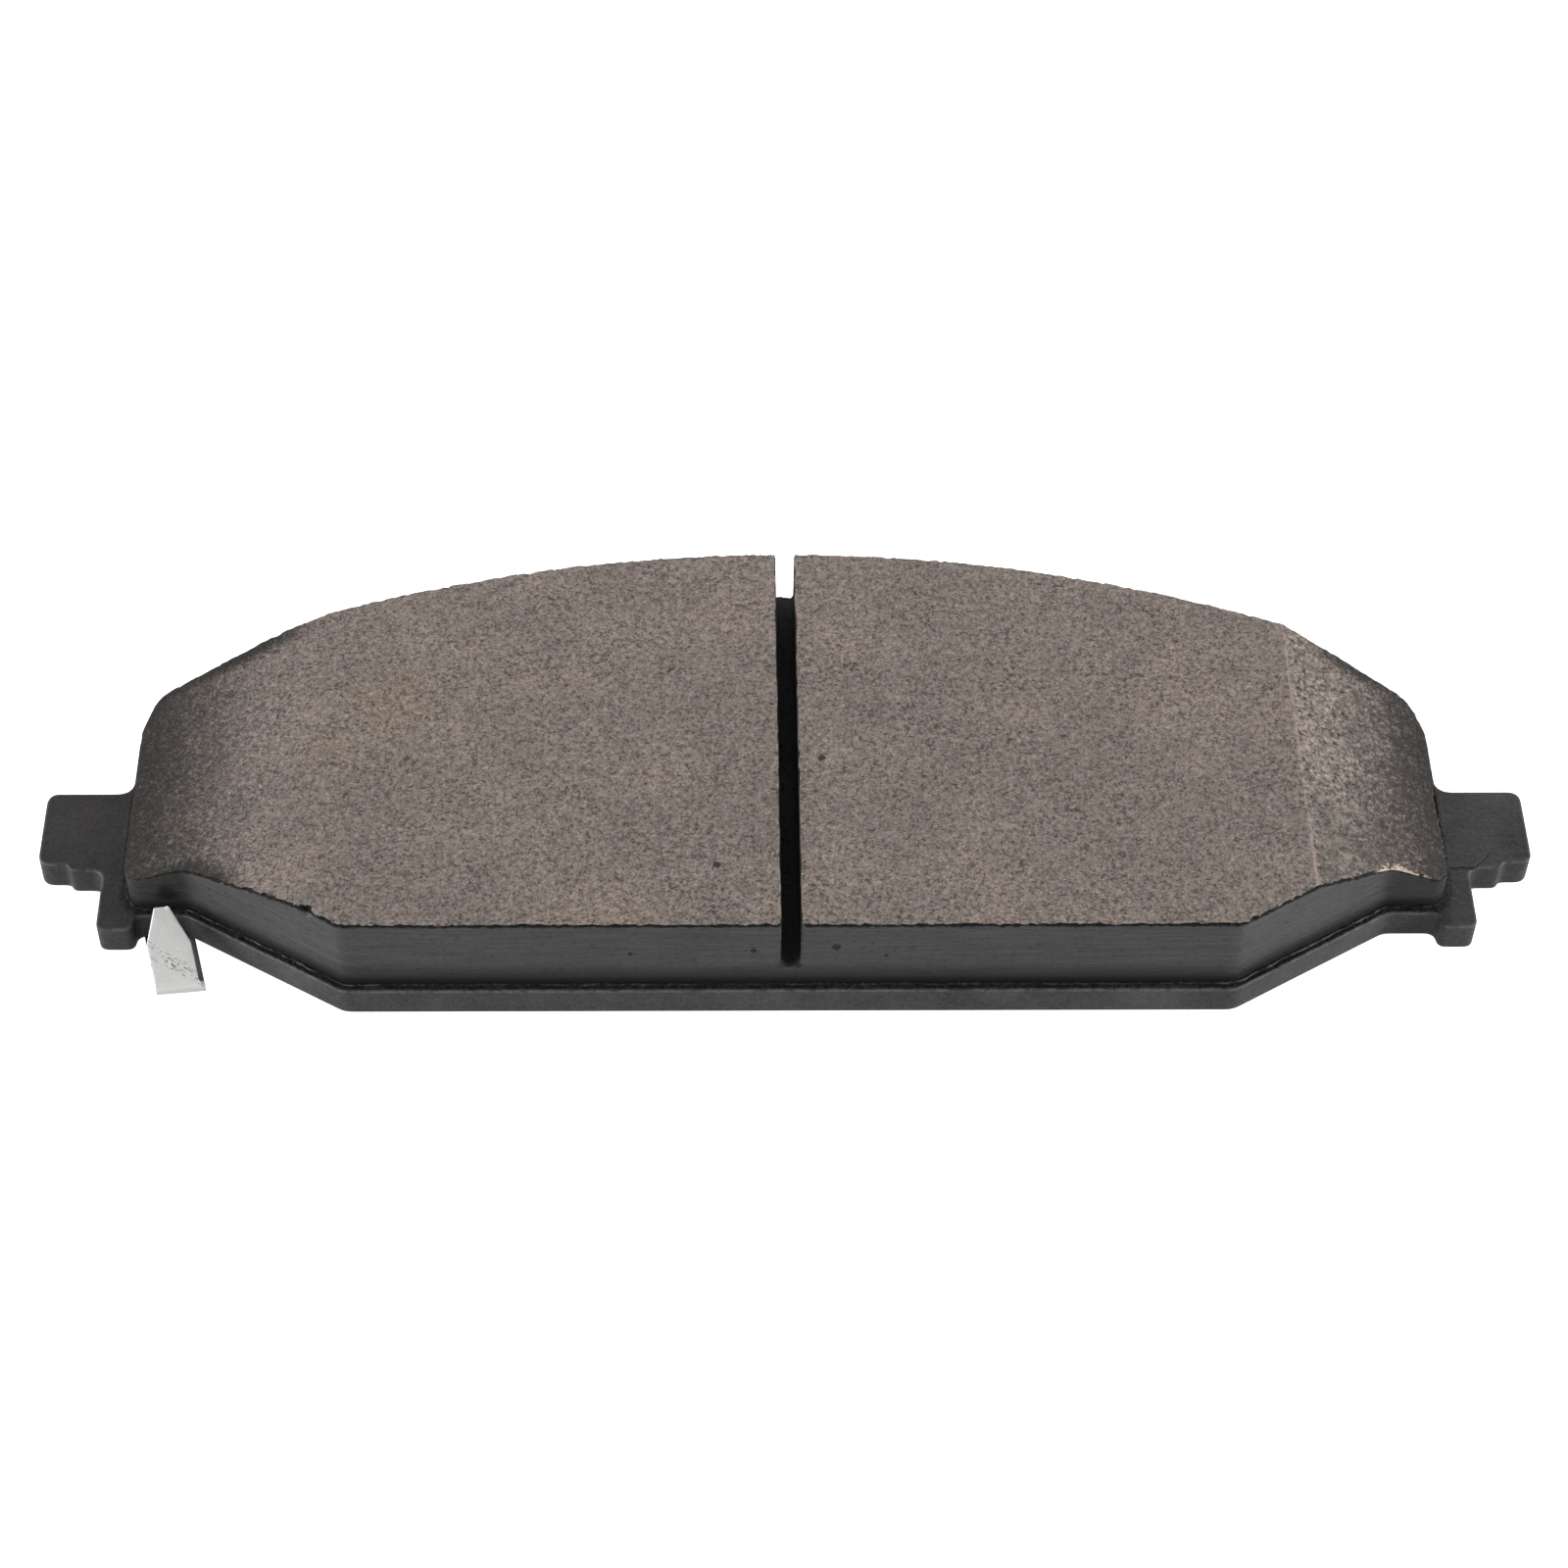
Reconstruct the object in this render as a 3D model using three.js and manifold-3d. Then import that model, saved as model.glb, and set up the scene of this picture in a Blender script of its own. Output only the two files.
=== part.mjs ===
// Disc brake pad: a steel backing plate with a moulded friction block on its front,
// a laminated noise shim on its back and a riveted steel wear indicator at one end.
//
// Millimetres. X runs along the pad, Y points away from the wheel axle, and Z is the
// pad's thickness, from the piston to the disc. The shim's outer face lies at Z = 0,
// and the origin is in the middle of the backing plate's length and height.

import * as THREE from 'three';
import { mergeVertices } from 'three/addons/utils/BufferGeometryUtils.js';
import Module from 'manifold-3d';

// Backing plate. Heights are counted from its lower edge.
const plateThickness = 5;
const plateLength = 203;          // over the two ears
const plateHeight = 69;           // from the lower edge to the crown
const crownRadius = 186.5;        // of the upper edge
const notchReach = 9.25;          // from the end of the plate's body to its slanted edge
const notchHeight = 12.7;
const slantLength = 21.55;        // along X, from the notch down to the straight lower edge
const lowerCornerRadius = 2.5;
const notchCornerRadius = 1.5;
const cornerCutAlong = 2.6;       // cut at the two upper corners, along the side
const cornerCutAcross = 1.8;

// Ears that slide in the caliper bracket, each with a finger below it.
const earReach = 11.65;           // from the end of the plate's body to the ear's end
const earTop = 34;
const earBottom = 21.5;
const earStepHeight = 1;          // the inner part of the ear's underside is lower
const earStepLength = 4;          // from the ear's end to the step
const earCornerRadius = 1.4;
const earRootRadius = 1.9;
const fingerWidth = 5;
const fingerBottom = 10.4;
const fingerStandOut = 2.7;       // past the end of the plate's body
const fingerCornerRadius = 0.9;

// Friction block and the bonding layer under it.
const frictionInset = 1.25;       // from the plate's edge
const underlayerThickness = 2;
const frictionThickness = 10.4;
const frictionCornerRadius = 2.6;
const frictionCutAlong = 4.8;     // cut at the two upper corners
const frictionCutAcross = 1.7;
const slotWidth = 2.6;
const slotDepth = 8.9;
const rightChamferLength = 19.4;
const rightChamferDrop = 7.6;
const leftChamferLength = 23.1;
const leftChamferDrop = 6.7;

// Moulding holes in the plate, filled by plugs of the bonding layer.
const mouldingHoleRadius = 4.5;
const mouldingHoles = [[-50, 24], [-19, 42], [19, 42], [50, 24]];
const plugGap = 0.3;

// Noise shim: rubber coat, steel core and adhesive.
const shimInset = 3;              // from the plate's edge
const shimCornerRadius = 3;
const coatThickness = 0.15;
const coreThickness = 0.7;
const adhesiveThickness = 0.15;

// Wear indicator: a leg under the plate, a bend, and a strip that rises to a narrow tip.
const stripThickness = 0.8;
const legWidth = 6.6;             // of the leg and the bend
const stripRelief = 0.75;         // cut off the inner side of the rising strip
const stripLength = 10.4;         // from the bend to the tip
const stripShoulder = 5.5;        // from the bend to where the strip narrows
const stripRise = 40;             // degrees, from the plate's plane
const tipWidth = 2;
const bendInnerRadius = 0.5;
const legLength = 14;             // from the outside of the bend to the rivet
const legEyeRadius = 4.1;
const indicatorInset = 8.9;       // from the end of the plate's body to the middle of the bend
const indicatorStandOut = 9.15;   // from the edge of the notch to the outside of the bend
const bendTurn = 6;               // degrees, of the bend line from X
const legTurn = 14.7;             // degrees, of the leg from Y
const shimWindowGap = 1.2;

// Rivet of the wear indicator, with a flush head at each end.
const rivetRadius = 2;
const rivetFrontHeadRadius = 3.1;
const rivetFrontHeadDepth = 1.4;
const rivetBackHeadRadius = 2.8;
const rivetGap = 0.2;

// Roundness of arcs.
const chordLength = 0.6;          // on small arcs
const crownSteps = 40;
const roundSteps = 32;
const bendSteps = 10;

// Levels and places that follow from the sizes above.
const shimThickness = coatThickness + coreThickness + adhesiveThickness;
const plateFront = shimThickness + plateThickness;
const frictionBack = plateFront + underlayerThickness;
const middleY = plateHeight / 2;
const halfBody = plateLength / 2 - earReach;
const halfNotch = halfBody - notchReach;
const halfLowerEdge = halfNotch - slantLength;
const crownCentreY = plateHeight - crownRadius;
const past = 2;                   // how far a cutter reaches past what it cuts

const wasm = await Module();
wasm.setup();

// A closed geometry as a solid that can be joined and cut.
function solidOf(geometry) {
  const plain = geometry.clone();
  plain.deleteAttribute('normal');
  plain.deleteAttribute('uv');
  const merged = mergeVertices(plain, 1e-4);
  return new wasm.Manifold(new wasm.Mesh({
    numProp: 3,
    vertProperties: new Float32Array(merged.attributes.position.array),
    triVerts: new Uint32Array(merged.index.array),
  }));
}

function geometryOf(solid) {
  const mesh = solid.getMesh();
  const geometry = new THREE.BufferGeometry();
  geometry.setAttribute('position', new THREE.BufferAttribute(mesh.vertProperties, 3));
  geometry.setIndex(new THREE.BufferAttribute(mesh.triVerts, 1));
  geometry.computeVertexNormals();
  return geometry;
}

// A corner of an outline, which is rounded with the given radius.
function corner(x, y, radius = 0) {
  return { x, y, radius };
}

// The points of the arc that rounds one corner between its two neighbours.
function cornerArc(before, here, after) {
  const at = new THREE.Vector2(here.x, here.y);
  const back = new THREE.Vector2(before.x, before.y).sub(at);
  const on = new THREE.Vector2(after.x, after.y).sub(at);
  const shortest = Math.min(back.length(), on.length());
  back.normalize();
  on.normalize();
  const halfAngle = Math.acos(back.dot(on)) / 2;
  const radius = Math.min(here.radius, 0.48 * shortest * Math.tan(halfAngle));
  const middle = back.clone().add(on).normalize();
  const centre = at.clone().addScaledVector(middle, radius / Math.sin(halfAngle));
  const sweep = Math.PI - 2 * halfAngle;
  const turn = -Math.sign(back.cross(on));
  const start = middle.negate().angle() - turn * sweep / 2;
  const steps = Math.max(2, Math.ceil(radius * sweep / chordLength));
  return Array.from({ length: steps + 1 }, (_, k) => {
    const angle = start + turn * sweep * k / steps;
    const outward = new THREE.Vector2(Math.cos(angle), Math.sin(angle));
    return centre.clone().addScaledVector(outward, radius);
  });
}

// The points of a closed outline whose corners are rounded by arcs.
function rounded(corners) {
  const count = corners.length;
  return corners.flatMap((here, i) => (here.radius === 0
    ? [new THREE.Vector2(here.x, here.y)]
    : cornerArc(corners[(i + count - 1) % count], here, corners[(i + 1) % count])));
}

// A flat piece of the given outline, from Z = 0 up.
function plateOf(points, thickness) {
  const shape = new THREE.Shape(points);
  return new THREE.ExtrudeGeometry(shape, { depth: thickness, bevelEnabled: false });
}

// A round solid about an upright axis, from the profile of its wall as [radius, z].
function turned(wall, x, y) {
  const profile = [[0, wall[0][1]], ...wall, [0, wall[wall.length - 1][1]]];
  const points = profile.map(([radius, z]) => new THREE.Vector2(radius, z));
  return new THREE.LatheGeometry(points, roundSteps).rotateX(Math.PI / 2).translate(x, y, 0);
}

function mirrored(corners) {
  return corners.map(({ x, y, radius }) => corner(-x, y, radius)).reverse();
}

// The crown's arc from right to left, drawn in by an inset.
function crownArc(halfWidth, inset) {
  const radius = crownRadius - inset;
  const halfAngle = Math.asin(halfWidth / radius);
  return Array.from({ length: crownSteps + 1 }, (_, k) => {
    const angle = halfAngle * (1 - 2 * k / crownSteps);
    return corner(radius * Math.sin(angle), crownCentreY + radius * Math.cos(angle));
  });
}

// A closed outline from the corners of its right half, which end below the upper
// corner: that corner is cut off, and the crown joins the half to its mirror image.
function outlineOf(rightHalf, inset, cutAlong, cutAcross) {
  const side = halfBody - inset;
  const sideTop = crownCentreY + Math.sqrt((crownRadius - inset) ** 2 - side ** 2);
  const half = [...rightHalf, corner(side, sideTop - cutAlong)];
  return rounded([...half, ...crownArc(side - cutAcross, inset), ...mirrored(half)])
    .map(({ x, y }) => new THREE.Vector2(x, y - middleY));
}

// The right half of the lower edge, drawn in by an inset: flat, slant and notch.
function lowerEdge(inset) {
  const slant = Math.atan2(notchHeight, slantLength);
  const shift = inset * Math.tan(slant / 2);
  return [
    corner(halfLowerEdge - shift, inset, lowerCornerRadius),
    corner(halfNotch - shift, notchHeight + inset, notchCornerRadius),
  ];
}

// The outline of the pad's body without ears or fingers, drawn in by an inset.
function bodyOutline(inset, endRadius, cutAlong, cutAcross) {
  const end = corner(halfBody - inset, notchHeight + inset, endRadius);
  return outlineOf([...lowerEdge(inset), end], inset, cutAlong, cutAcross);
}

function frictionOutline() {
  return bodyOutline(frictionInset, frictionCornerRadius, frictionCutAlong, frictionCutAcross);
}

// The outline of the whole backing plate.
function backingPlateOutline() {
  const earEnd = plateLength / 2;
  const earStep = earEnd - earStepLength;
  const innerUnderside = earBottom - earStepHeight;
  const fingerOuter = halfBody + fingerStandOut;
  const fingerInner = fingerOuter - fingerWidth;
  return outlineOf([
    ...lowerEdge(0),
    corner(fingerInner, notchHeight, fingerCornerRadius),
    corner(fingerInner, fingerBottom, fingerCornerRadius),
    corner(fingerOuter, fingerBottom, fingerCornerRadius),
    corner(fingerOuter, innerUnderside, earCornerRadius),
    corner(earStep - earStepHeight / 2, innerUnderside),
    corner(earStep, earBottom),
    corner(earEnd, earBottom, earCornerRadius),
    corner(earEnd, earTop, earCornerRadius),
    corner(halfBody, earTop, earRootRadius),
  ], 0, cornerCutAlong, cornerCutAcross);
}

// Where the wear indicator stands: its X runs along the bend and its Y along the leg.
// The two differ from a square by a few degrees, so the strip leans a little sideways.
function indicatorPlace() {
  const bend = THREE.MathUtils.degToRad(bendTurn);
  const leg = THREE.MathUtils.degToRad(legTurn);
  return new THREE.Matrix4().makeBasis(
    new THREE.Vector3(Math.cos(bend), Math.sin(bend), 0),
    new THREE.Vector3(-Math.sin(leg), Math.cos(leg), 0),
    new THREE.Vector3(0, 0, 1),
  ).setPosition(indicatorInset - halfBody, notchHeight - indicatorStandOut - middleY, 0);
}

const rivetPlace = new THREE.Vector3(0, legLength, 0).applyMatrix4(indicatorPlace());

// The steel plate, with its moulding holes and the rivet's countersunk hole.
function backingPlate() {
  let solid = solidOf(plateOf(backingPlateOutline(), plateThickness));
  for (const [x, height] of mouldingHoles) {
    solid = solid.subtract(solidOf(turned([
      [mouldingHoleRadius, -past],
      [mouldingHoleRadius, plateThickness + past],
    ], x, height - middleY)));
  }
  return geometryOf(solid.subtract(solidOf(turned([
    [rivetRadius + rivetGap, -past],
    [rivetRadius + rivetGap, plateThickness - rivetFrontHeadDepth],
    [rivetFrontHeadRadius + rivetGap, plateThickness],
    [rivetFrontHeadRadius + rivetGap, plateThickness + past],
  ], rivetPlace.x, rivetPlace.y))));
}

// The bonding layer, with the plugs that fill the plate's moulding holes.
function underlayer() {
  let solid = solidOf(plateOf(frictionOutline(), underlayerThickness));
  for (const [x, height] of mouldingHoles) {
    solid = solid.add(solidOf(turned([
      [mouldingHoleRadius - plugGap, -plateThickness],
      [mouldingHoleRadius - plugGap, underlayerThickness / 2],
    ], x, height - middleY)));
  }
  return geometryOf(solid);
}

// A wedge that cuts the right end of the friction block down to a chamfer.
function chamferCutter(length, drop) {
  const side = halfBody - frictionInset;
  const wedge = plateOf([
    new THREE.Vector2(side - length, frictionThickness),
    new THREE.Vector2(side + past, frictionThickness - drop * (1 + past / length)),
    new THREE.Vector2(side + past, frictionThickness + past),
    new THREE.Vector2(side - length, frictionThickness + past),
  ], 2 * plateHeight);
  return wedge.rotateX(Math.PI / 2).translate(0, plateHeight, 0);
}

// The friction block, with its slot and a chamfer at each end.
function frictionBlock() {
  const slot = new THREE.BoxGeometry(slotWidth, 2 * plateHeight, 2 * slotDepth)
    .translate(0, 0, frictionThickness);
  const rightEnd = chamferCutter(rightChamferLength, rightChamferDrop);
  const leftEnd = chamferCutter(leftChamferLength, leftChamferDrop).rotateZ(Math.PI);
  return geometryOf(solidOf(plateOf(frictionOutline(), frictionThickness))
    .subtract(solidOf(slot))
    .subtract(solidOf(rightEnd))
    .subtract(solidOf(leftEnd)));
}

// One layer of the shim, with a window round the wear indicator's leg.
function shimLayer(thickness) {
  const outline = bodyOutline(shimInset, shimCornerRadius, cornerCutAlong, cornerCutAcross);
  const reach = Math.max(legEyeRadius, legWidth / 2) + shimWindowGap;
  const window = plateOf(rounded([
    corner(-reach, -plateHeight),
    corner(reach, -plateHeight),
    corner(reach, legLength + reach, reach),
    corner(-reach, legLength + reach, reach),
  ]), 2 * past).translate(0, 0, -past).applyMatrix4(indicatorPlace());
  return geometryOf(solidOf(plateOf(outline, thickness)).subtract(solidOf(window)));
}

// Side view of the wear indicator as [distance inwards, height]: the leg, the bend
// round its centre, and the strip that rises back towards the friction block.
function indicatorSection() {
  const outer = bendInnerRadius + stripThickness;
  const centre = new THREE.Vector2(outer, bendInnerRadius);
  const rise = THREE.MathUtils.degToRad(stripRise);
  const outside = [];
  const inside = [];
  for (let k = 0; k <= bendSteps; k += 1) {
    const angle = -Math.PI / 2 - (Math.PI - rise) * k / bendSteps;
    const away = new THREE.Vector2(Math.cos(angle), Math.sin(angle));
    outside.push(centre.clone().addScaledVector(away, outer));
    inside.unshift(centre.clone().addScaledVector(away, bendInnerRadius));
  }
  const along = new THREE.Vector2(Math.cos(rise), Math.sin(rise));
  return [
    new THREE.Vector2(legLength, -stripThickness),
    ...outside,
    outside[bendSteps].clone().addScaledVector(along, stripLength),
    inside[0].clone().addScaledVector(along, stripLength),
    ...inside,
    new THREE.Vector2(legLength, 0),
  ];
}

// A prism that cuts the rising strip to its width and narrows it to the tip on one
// side, 1 for the inner side and -1 for the outer. The relief is all on the inner side.
function stripCutter(side) {
  const rise = THREE.MathUtils.degToRad(stripRise);
  const outer = bendInnerRadius + stripThickness;
  const middle = -stripRelief / 2;
  const shoulder = (legWidth - stripRelief) / 2;
  const slope = (shoulder - tipWidth / 2) / (stripLength - stripShoulder);
  const outline = [
    [shoulder, 0],
    [shoulder, stripShoulder],
    [tipWidth / 2 - slope * past, stripLength + past],
    [legWidth, stripLength + past],
    [legWidth, 0],
  ].map(([x, y]) => new THREE.Vector2(middle + side * x, y));
  const foot = new THREE.Vector3(
    0,
    outer * (1 - Math.sin(rise)),
    bendInnerRadius + outer * Math.cos(rise),
  );
  return plateOf(outline, 2 * past)
    .translate(0, 0, -past)
    .applyMatrix4(new THREE.Matrix4().makeRotationX(rise).setPosition(foot));
}

// The wear indicator, bent from one strip, with the rivet's countersunk hole.
function wearIndicator() {
  const strip = plateOf(indicatorSection(), legWidth)
    .translate(0, 0, -legWidth / 2)
    .applyMatrix4(new THREE.Matrix4().makeBasis(
      new THREE.Vector3(0, 1, 0),
      new THREE.Vector3(0, 0, 1),
      new THREE.Vector3(1, 0, 0),
    ));
  const bent = solidOf(strip)
    .subtract(solidOf(stripCutter(1)))
    .subtract(solidOf(stripCutter(-1)));
  const placed = geometryOf(bent).applyMatrix4(indicatorPlace());
  const eye = turned([[legEyeRadius, -stripThickness], [legEyeRadius, 0]], rivetPlace.x, rivetPlace.y);
  const hole = turned([
    [rivetBackHeadRadius + rivetGap, -stripThickness - past],
    [rivetBackHeadRadius + rivetGap, -stripThickness],
    [rivetRadius + rivetGap, 0],
    [rivetRadius + rivetGap, past],
  ], rivetPlace.x, rivetPlace.y);
  return geometryOf(solidOf(placed).add(solidOf(eye)).subtract(solidOf(hole)));
}

function indicatorRivet() {
  return turned([
    [rivetBackHeadRadius, -stripThickness],
    [rivetRadius, 0],
    [rivetRadius, plateThickness - rivetFrontHeadDepth],
    [rivetFrontHeadRadius, plateThickness],
  ], rivetPlace.x, rivetPlace.y);
}

const group = new THREE.Group();

// Adds one piece, with its own Z = 0 at the given level.
function addPiece(name, geometry, level, color, roughness, metalness) {
  const material = new THREE.MeshStandardMaterial({ color, roughness, metalness });
  const mesh = new THREE.Mesh(geometry, material);
  mesh.name = name;
  mesh.position.z = level;
  group.add(mesh);
}

const coreLevel = coatThickness;
const adhesiveLevel = coatThickness + coreThickness;

addPiece('shim_rubber_coat', shimLayer(coatThickness), 0, 0x1c1c1d, 0.7, 0);
addPiece('shim_steel_core', shimLayer(coreThickness), coreLevel, 0x9a9b9c, 0.4, 1);
addPiece('shim_adhesive', shimLayer(adhesiveThickness), adhesiveLevel, 0x8d8778, 0.6, 0);
addPiece('backing_plate', backingPlate(), shimThickness, 0x2e2e30, 0.55, 0.1);
addPiece('bonding_underlayer', underlayer(), plateFront, 0x2b2a29, 0.85, 0);
addPiece('friction_block', frictionBlock(), frictionBack, 0x6f6660, 0.9, 0.1);
addPiece('wear_indicator', wearIndicator(), shimThickness, 0xc6c7c5, 0.45, 0.8);
addPiece('wear_indicator_rivet', indicatorRivet(), shimThickness, 0xb0b1b0, 0.4, 1);

export default group;
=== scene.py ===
"""A disc brake pad, lying on its shim with the friction block up.

The pad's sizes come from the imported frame: its outlines, levels and holes are read from
the frame's nodes, and each piece is built round them with its rolled edges, chips, bends
and coatings. Lengths inside the mesh functions are millimetres in the frame's axes: X runs
along the pad, Y points away from the wheel axle and Z from the piston to the disc.
"""

import math

import bmesh
import bpy
import numpy as np
from bpy.props import FloatProperty, FloatVectorProperty, PointerProperty
from mathutils import Matrix, Vector
from mathutils.geometry import delaunay_2d_cdt
from mathutils.kdtree import KDTree


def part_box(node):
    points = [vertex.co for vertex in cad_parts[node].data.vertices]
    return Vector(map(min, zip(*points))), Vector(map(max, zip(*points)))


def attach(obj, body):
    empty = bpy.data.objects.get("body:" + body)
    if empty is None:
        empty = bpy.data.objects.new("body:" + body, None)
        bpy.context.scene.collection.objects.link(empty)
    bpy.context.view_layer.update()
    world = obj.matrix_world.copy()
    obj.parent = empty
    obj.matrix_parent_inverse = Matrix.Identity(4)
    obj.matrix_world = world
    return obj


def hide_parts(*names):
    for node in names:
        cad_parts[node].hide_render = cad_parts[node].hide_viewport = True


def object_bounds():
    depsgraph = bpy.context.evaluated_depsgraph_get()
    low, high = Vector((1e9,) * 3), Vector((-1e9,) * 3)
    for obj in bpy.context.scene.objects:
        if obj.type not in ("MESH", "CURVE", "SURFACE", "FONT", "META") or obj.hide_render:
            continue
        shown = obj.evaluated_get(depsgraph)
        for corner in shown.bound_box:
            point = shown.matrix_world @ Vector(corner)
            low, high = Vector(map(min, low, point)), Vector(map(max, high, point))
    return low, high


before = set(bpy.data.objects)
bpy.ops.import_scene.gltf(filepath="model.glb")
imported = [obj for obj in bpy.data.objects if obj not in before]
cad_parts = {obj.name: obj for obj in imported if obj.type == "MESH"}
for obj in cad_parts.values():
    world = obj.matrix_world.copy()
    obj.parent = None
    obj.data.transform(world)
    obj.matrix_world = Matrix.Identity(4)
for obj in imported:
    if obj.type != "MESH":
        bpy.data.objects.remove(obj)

bl_info = {
    "name": "Disc Brake Pad",
    "version": (1, 0, 0),
    "blender": (4, 5, 0),
    "location": "3D View > Sidebar > Brake Pad",
    "description": "Builds the pieces of a disc brake pad round its packed frame",
    "category": "Mesh",
}

CAD_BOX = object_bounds()
MM = 0.001


# ---------------------------------------------------------------- sizes and colours


def length(name, description, millimetres):
    return FloatProperty(
        name=name,
        description=description,
        default=millimetres * MM,
        min=0.0,
        unit="LENGTH",
        precision=5,
    )


def angle(name, description, degrees):
    return FloatProperty(
        name=name,
        description=description,
        default=math.radians(degrees),
        subtype="ANGLE",
    )


def number(name, description, default):
    return FloatProperty(name=name, description=description, default=default)


def colour(name, description, red, green, blue):
    """A colour property, given in the usual 0 to 255 screen values."""
    return FloatVectorProperty(
        name=name,
        description=description,
        default=tuple(linear(part / 255) for part in (red, green, blue)),
        subtype="COLOR",
        min=0.0,
        max=1.0,
    )


def linear(part):
    return part / 12.92 if part <= 0.04045 else ((part + 0.055) / 1.055) ** 2.4


class PadSizes(bpy.types.PropertyGroup):
    """Edges and small shapes that the frame leaves plain."""

    plate_roll: length("Plate roll", "Radius that blanking leaves on the back edges", 0.8)
    plate_bevel: length("Plate front edge", "Width of the front edge's bevel", 0.16)
    ledge_wave: length("Ledge wave", "Unevenness of the coat round the block", 0.05)
    flash_width: length("Flash width", "How far moulding flash stands out", 0.42)
    flash_height: length("Flash height", "Thickness of the moulding flash", 0.35)
    edge_chip: length("Edge chip", "Usual chip along the block's ground edges", 0.3)
    deep_chip: length("Deep chip", "Radius of the largest pit in the ground edge", 0.75)
    slot_floor_radius: length("Slot floor radius", "Corners of the slot's floor", 0.9)
    left_blend: length("Left chamfer blend", "Half length of the soft chamfer edge", 5.0)
    right_blend: length("Right chamfer blend", "Half length of the crisp edge", 0.25)
    corner_blend: length("Corner blend", "Reach of the block's rounded upper corners", 3.6)
    shim_edge: length("Shim edge", "Rounding of the shim core's edges", 0.12)
    strip_edge: length("Strip edge", "Rounding of the wear indicator's edges", 0.1)
    rivet_flare: length("Rivet flare", "Depth of the flared end of the rivet's hole", 1.4)
    tip_burr: length("Tip burr", "Height of the burr on the indicator's tip", 0.22)


class IndicatorSizes(bpy.types.PropertyGroup):
    """The bent strip of the wear indicator."""

    thickness: length("Thickness", "Of the strip", 0.8)
    width: length("Width", "Of the leg and the bend", 6.6)
    relief: length("Relief", "Cut off the inner side of the rising strip", 0.75)
    rise_length: length("Rising strip", "From the bend to the tip", 10.4)
    shoulder: length("Shoulder", "From the bend to where the strip narrows", 5.5)
    tip_width: length("Tip width", "Of the strip's end", 2.0)
    bend_radius: length("Bend radius", "Inside the bend", 0.5)
    leg: length("Leg", "From the outside of the bend to the rivet", 14.0)
    eye_radius: length("Eye radius", "Round the rivet", 4.1)
    hole_radius: length("Hole radius", "Of the rivet's hole", 2.214)
    hole_edge: length("Hole edge", "Radius of the hole's countersunk outer side", 2.993)
    rise: angle("Rise", "Of the strip from the plate", 40.0)
    bend_turn: angle("Bend turn", "Of the bend line from the pad's length", 6.0)
    leg_turn: angle("Leg turn", "Of the leg from the pad's height", 14.7)


class PadColours(bpy.types.PropertyGroup):
    """Base colours of the finishes."""

    compound: colour("Compound", "Ground friction compound", 120, 110, 104)
    compound_warm: colour("Warm compound", "Tan patches of the compound", 127, 114, 102)
    compound_pit: colour("Compound pits", "Dark grains and pores", 54, 49, 47)
    compound_raw: colour("Raw compound", "Freshly broken edge", 196, 180, 164)
    coat: colour("Coat", "Black stoving coat", 62, 62, 63)
    coat_dust: colour("Coat dust", "Coat drifted onto the ground face", 59, 56, 54)
    zinc: colour("Zinc", "Plating of the wear indicator", 213, 213, 211)
    rubber: colour("Rubber", "Outer coat of the shim", 36, 36, 38)
    steel: colour("Steel", "Bare edge of the shim core", 150, 151, 153)
    adhesive: colour("Adhesive", "Adhesive layer of the shim", 148, 140, 122)


class StageSizes(bpy.types.PropertyGroup):
    """Camera and light."""

    lens: number("Lens", "Focal length in millimetres on a 36 mm sensor", 82.945)
    distance: length("Distance", "From the camera to its target", 506.0)
    elevation: angle("Elevation", "Of the camera above the floor", 50.0)
    turn: angle("Turn", "Of the camera about the upright axis", -1.7477)
    roll: angle("Roll", "Of the camera about its own axis", 1.2575)
    sky: number("Sky", "Strength of the even white surroundings", 0.34)
    floor_seen: number("Floor seen", "Brightness of the floor to the camera", 1.1)
    floor_glow: number("Floor glow", "Light that the floor sends to the pad", 0.42)


def sizes_of(context):
    return context.scene.pad_sizes


def mm(value):
    return value / MM


# ---------------------------------------------------------------- outlines


def cad_loops(node, level):
    """The closed loops round a node's flat faces at a level, the longest first."""
    tolerance = 2e-3
    body = bmesh.new()
    body.from_mesh(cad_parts[node].data)
    bmesh.ops.remove_doubles(body, verts=body.verts, dist=1e-7)
    flat = [face for face in body.faces
            if all(abs(mm(vert.co.z) - level) < tolerance for vert in face.verts)]
    chosen = set(flat)
    follow = {}
    for face in flat:
        for corner in face.loops:
            if sum(other in chosen for other in corner.edge.link_faces) == 1:
                follow[corner.vert] = corner.link_loop_next.vert
    loops = []
    while follow:
        first = next(iter(follow))
        loop, vert = [], first
        while vert in follow:
            loop.append((mm(vert.co.x), mm(vert.co.y)))
            vert = follow.pop(vert)
        loops.append(anticlockwise(np.array(loop)))
    body.free()
    return sorted(loops, key=perimeter, reverse=True)


def perimeter(loop):
    return np.linalg.norm(np.roll(loop, -1, 0) - loop, axis=1).sum()


def anticlockwise(loop):
    following = np.roll(loop, -1, 0)
    area = (loop[:, 0] * following[:, 1] - loop[:, 1] * following[:, 0]).sum()
    return loop if area > 0 else loop[::-1]


def resampled(loop, spacing):
    """The same closed line with evenly spaced points."""
    closed = np.vstack([loop, loop[:1]])
    run = np.concatenate([[0], np.cumsum(np.linalg.norm(np.diff(closed, axis=0), axis=1))])
    count = int(round(run[-1] / spacing))
    at = np.linspace(0, run[-1], count, endpoint=False)
    return np.column_stack([np.interp(at, run, closed[:, k]) for k in (0, 1)])


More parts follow.
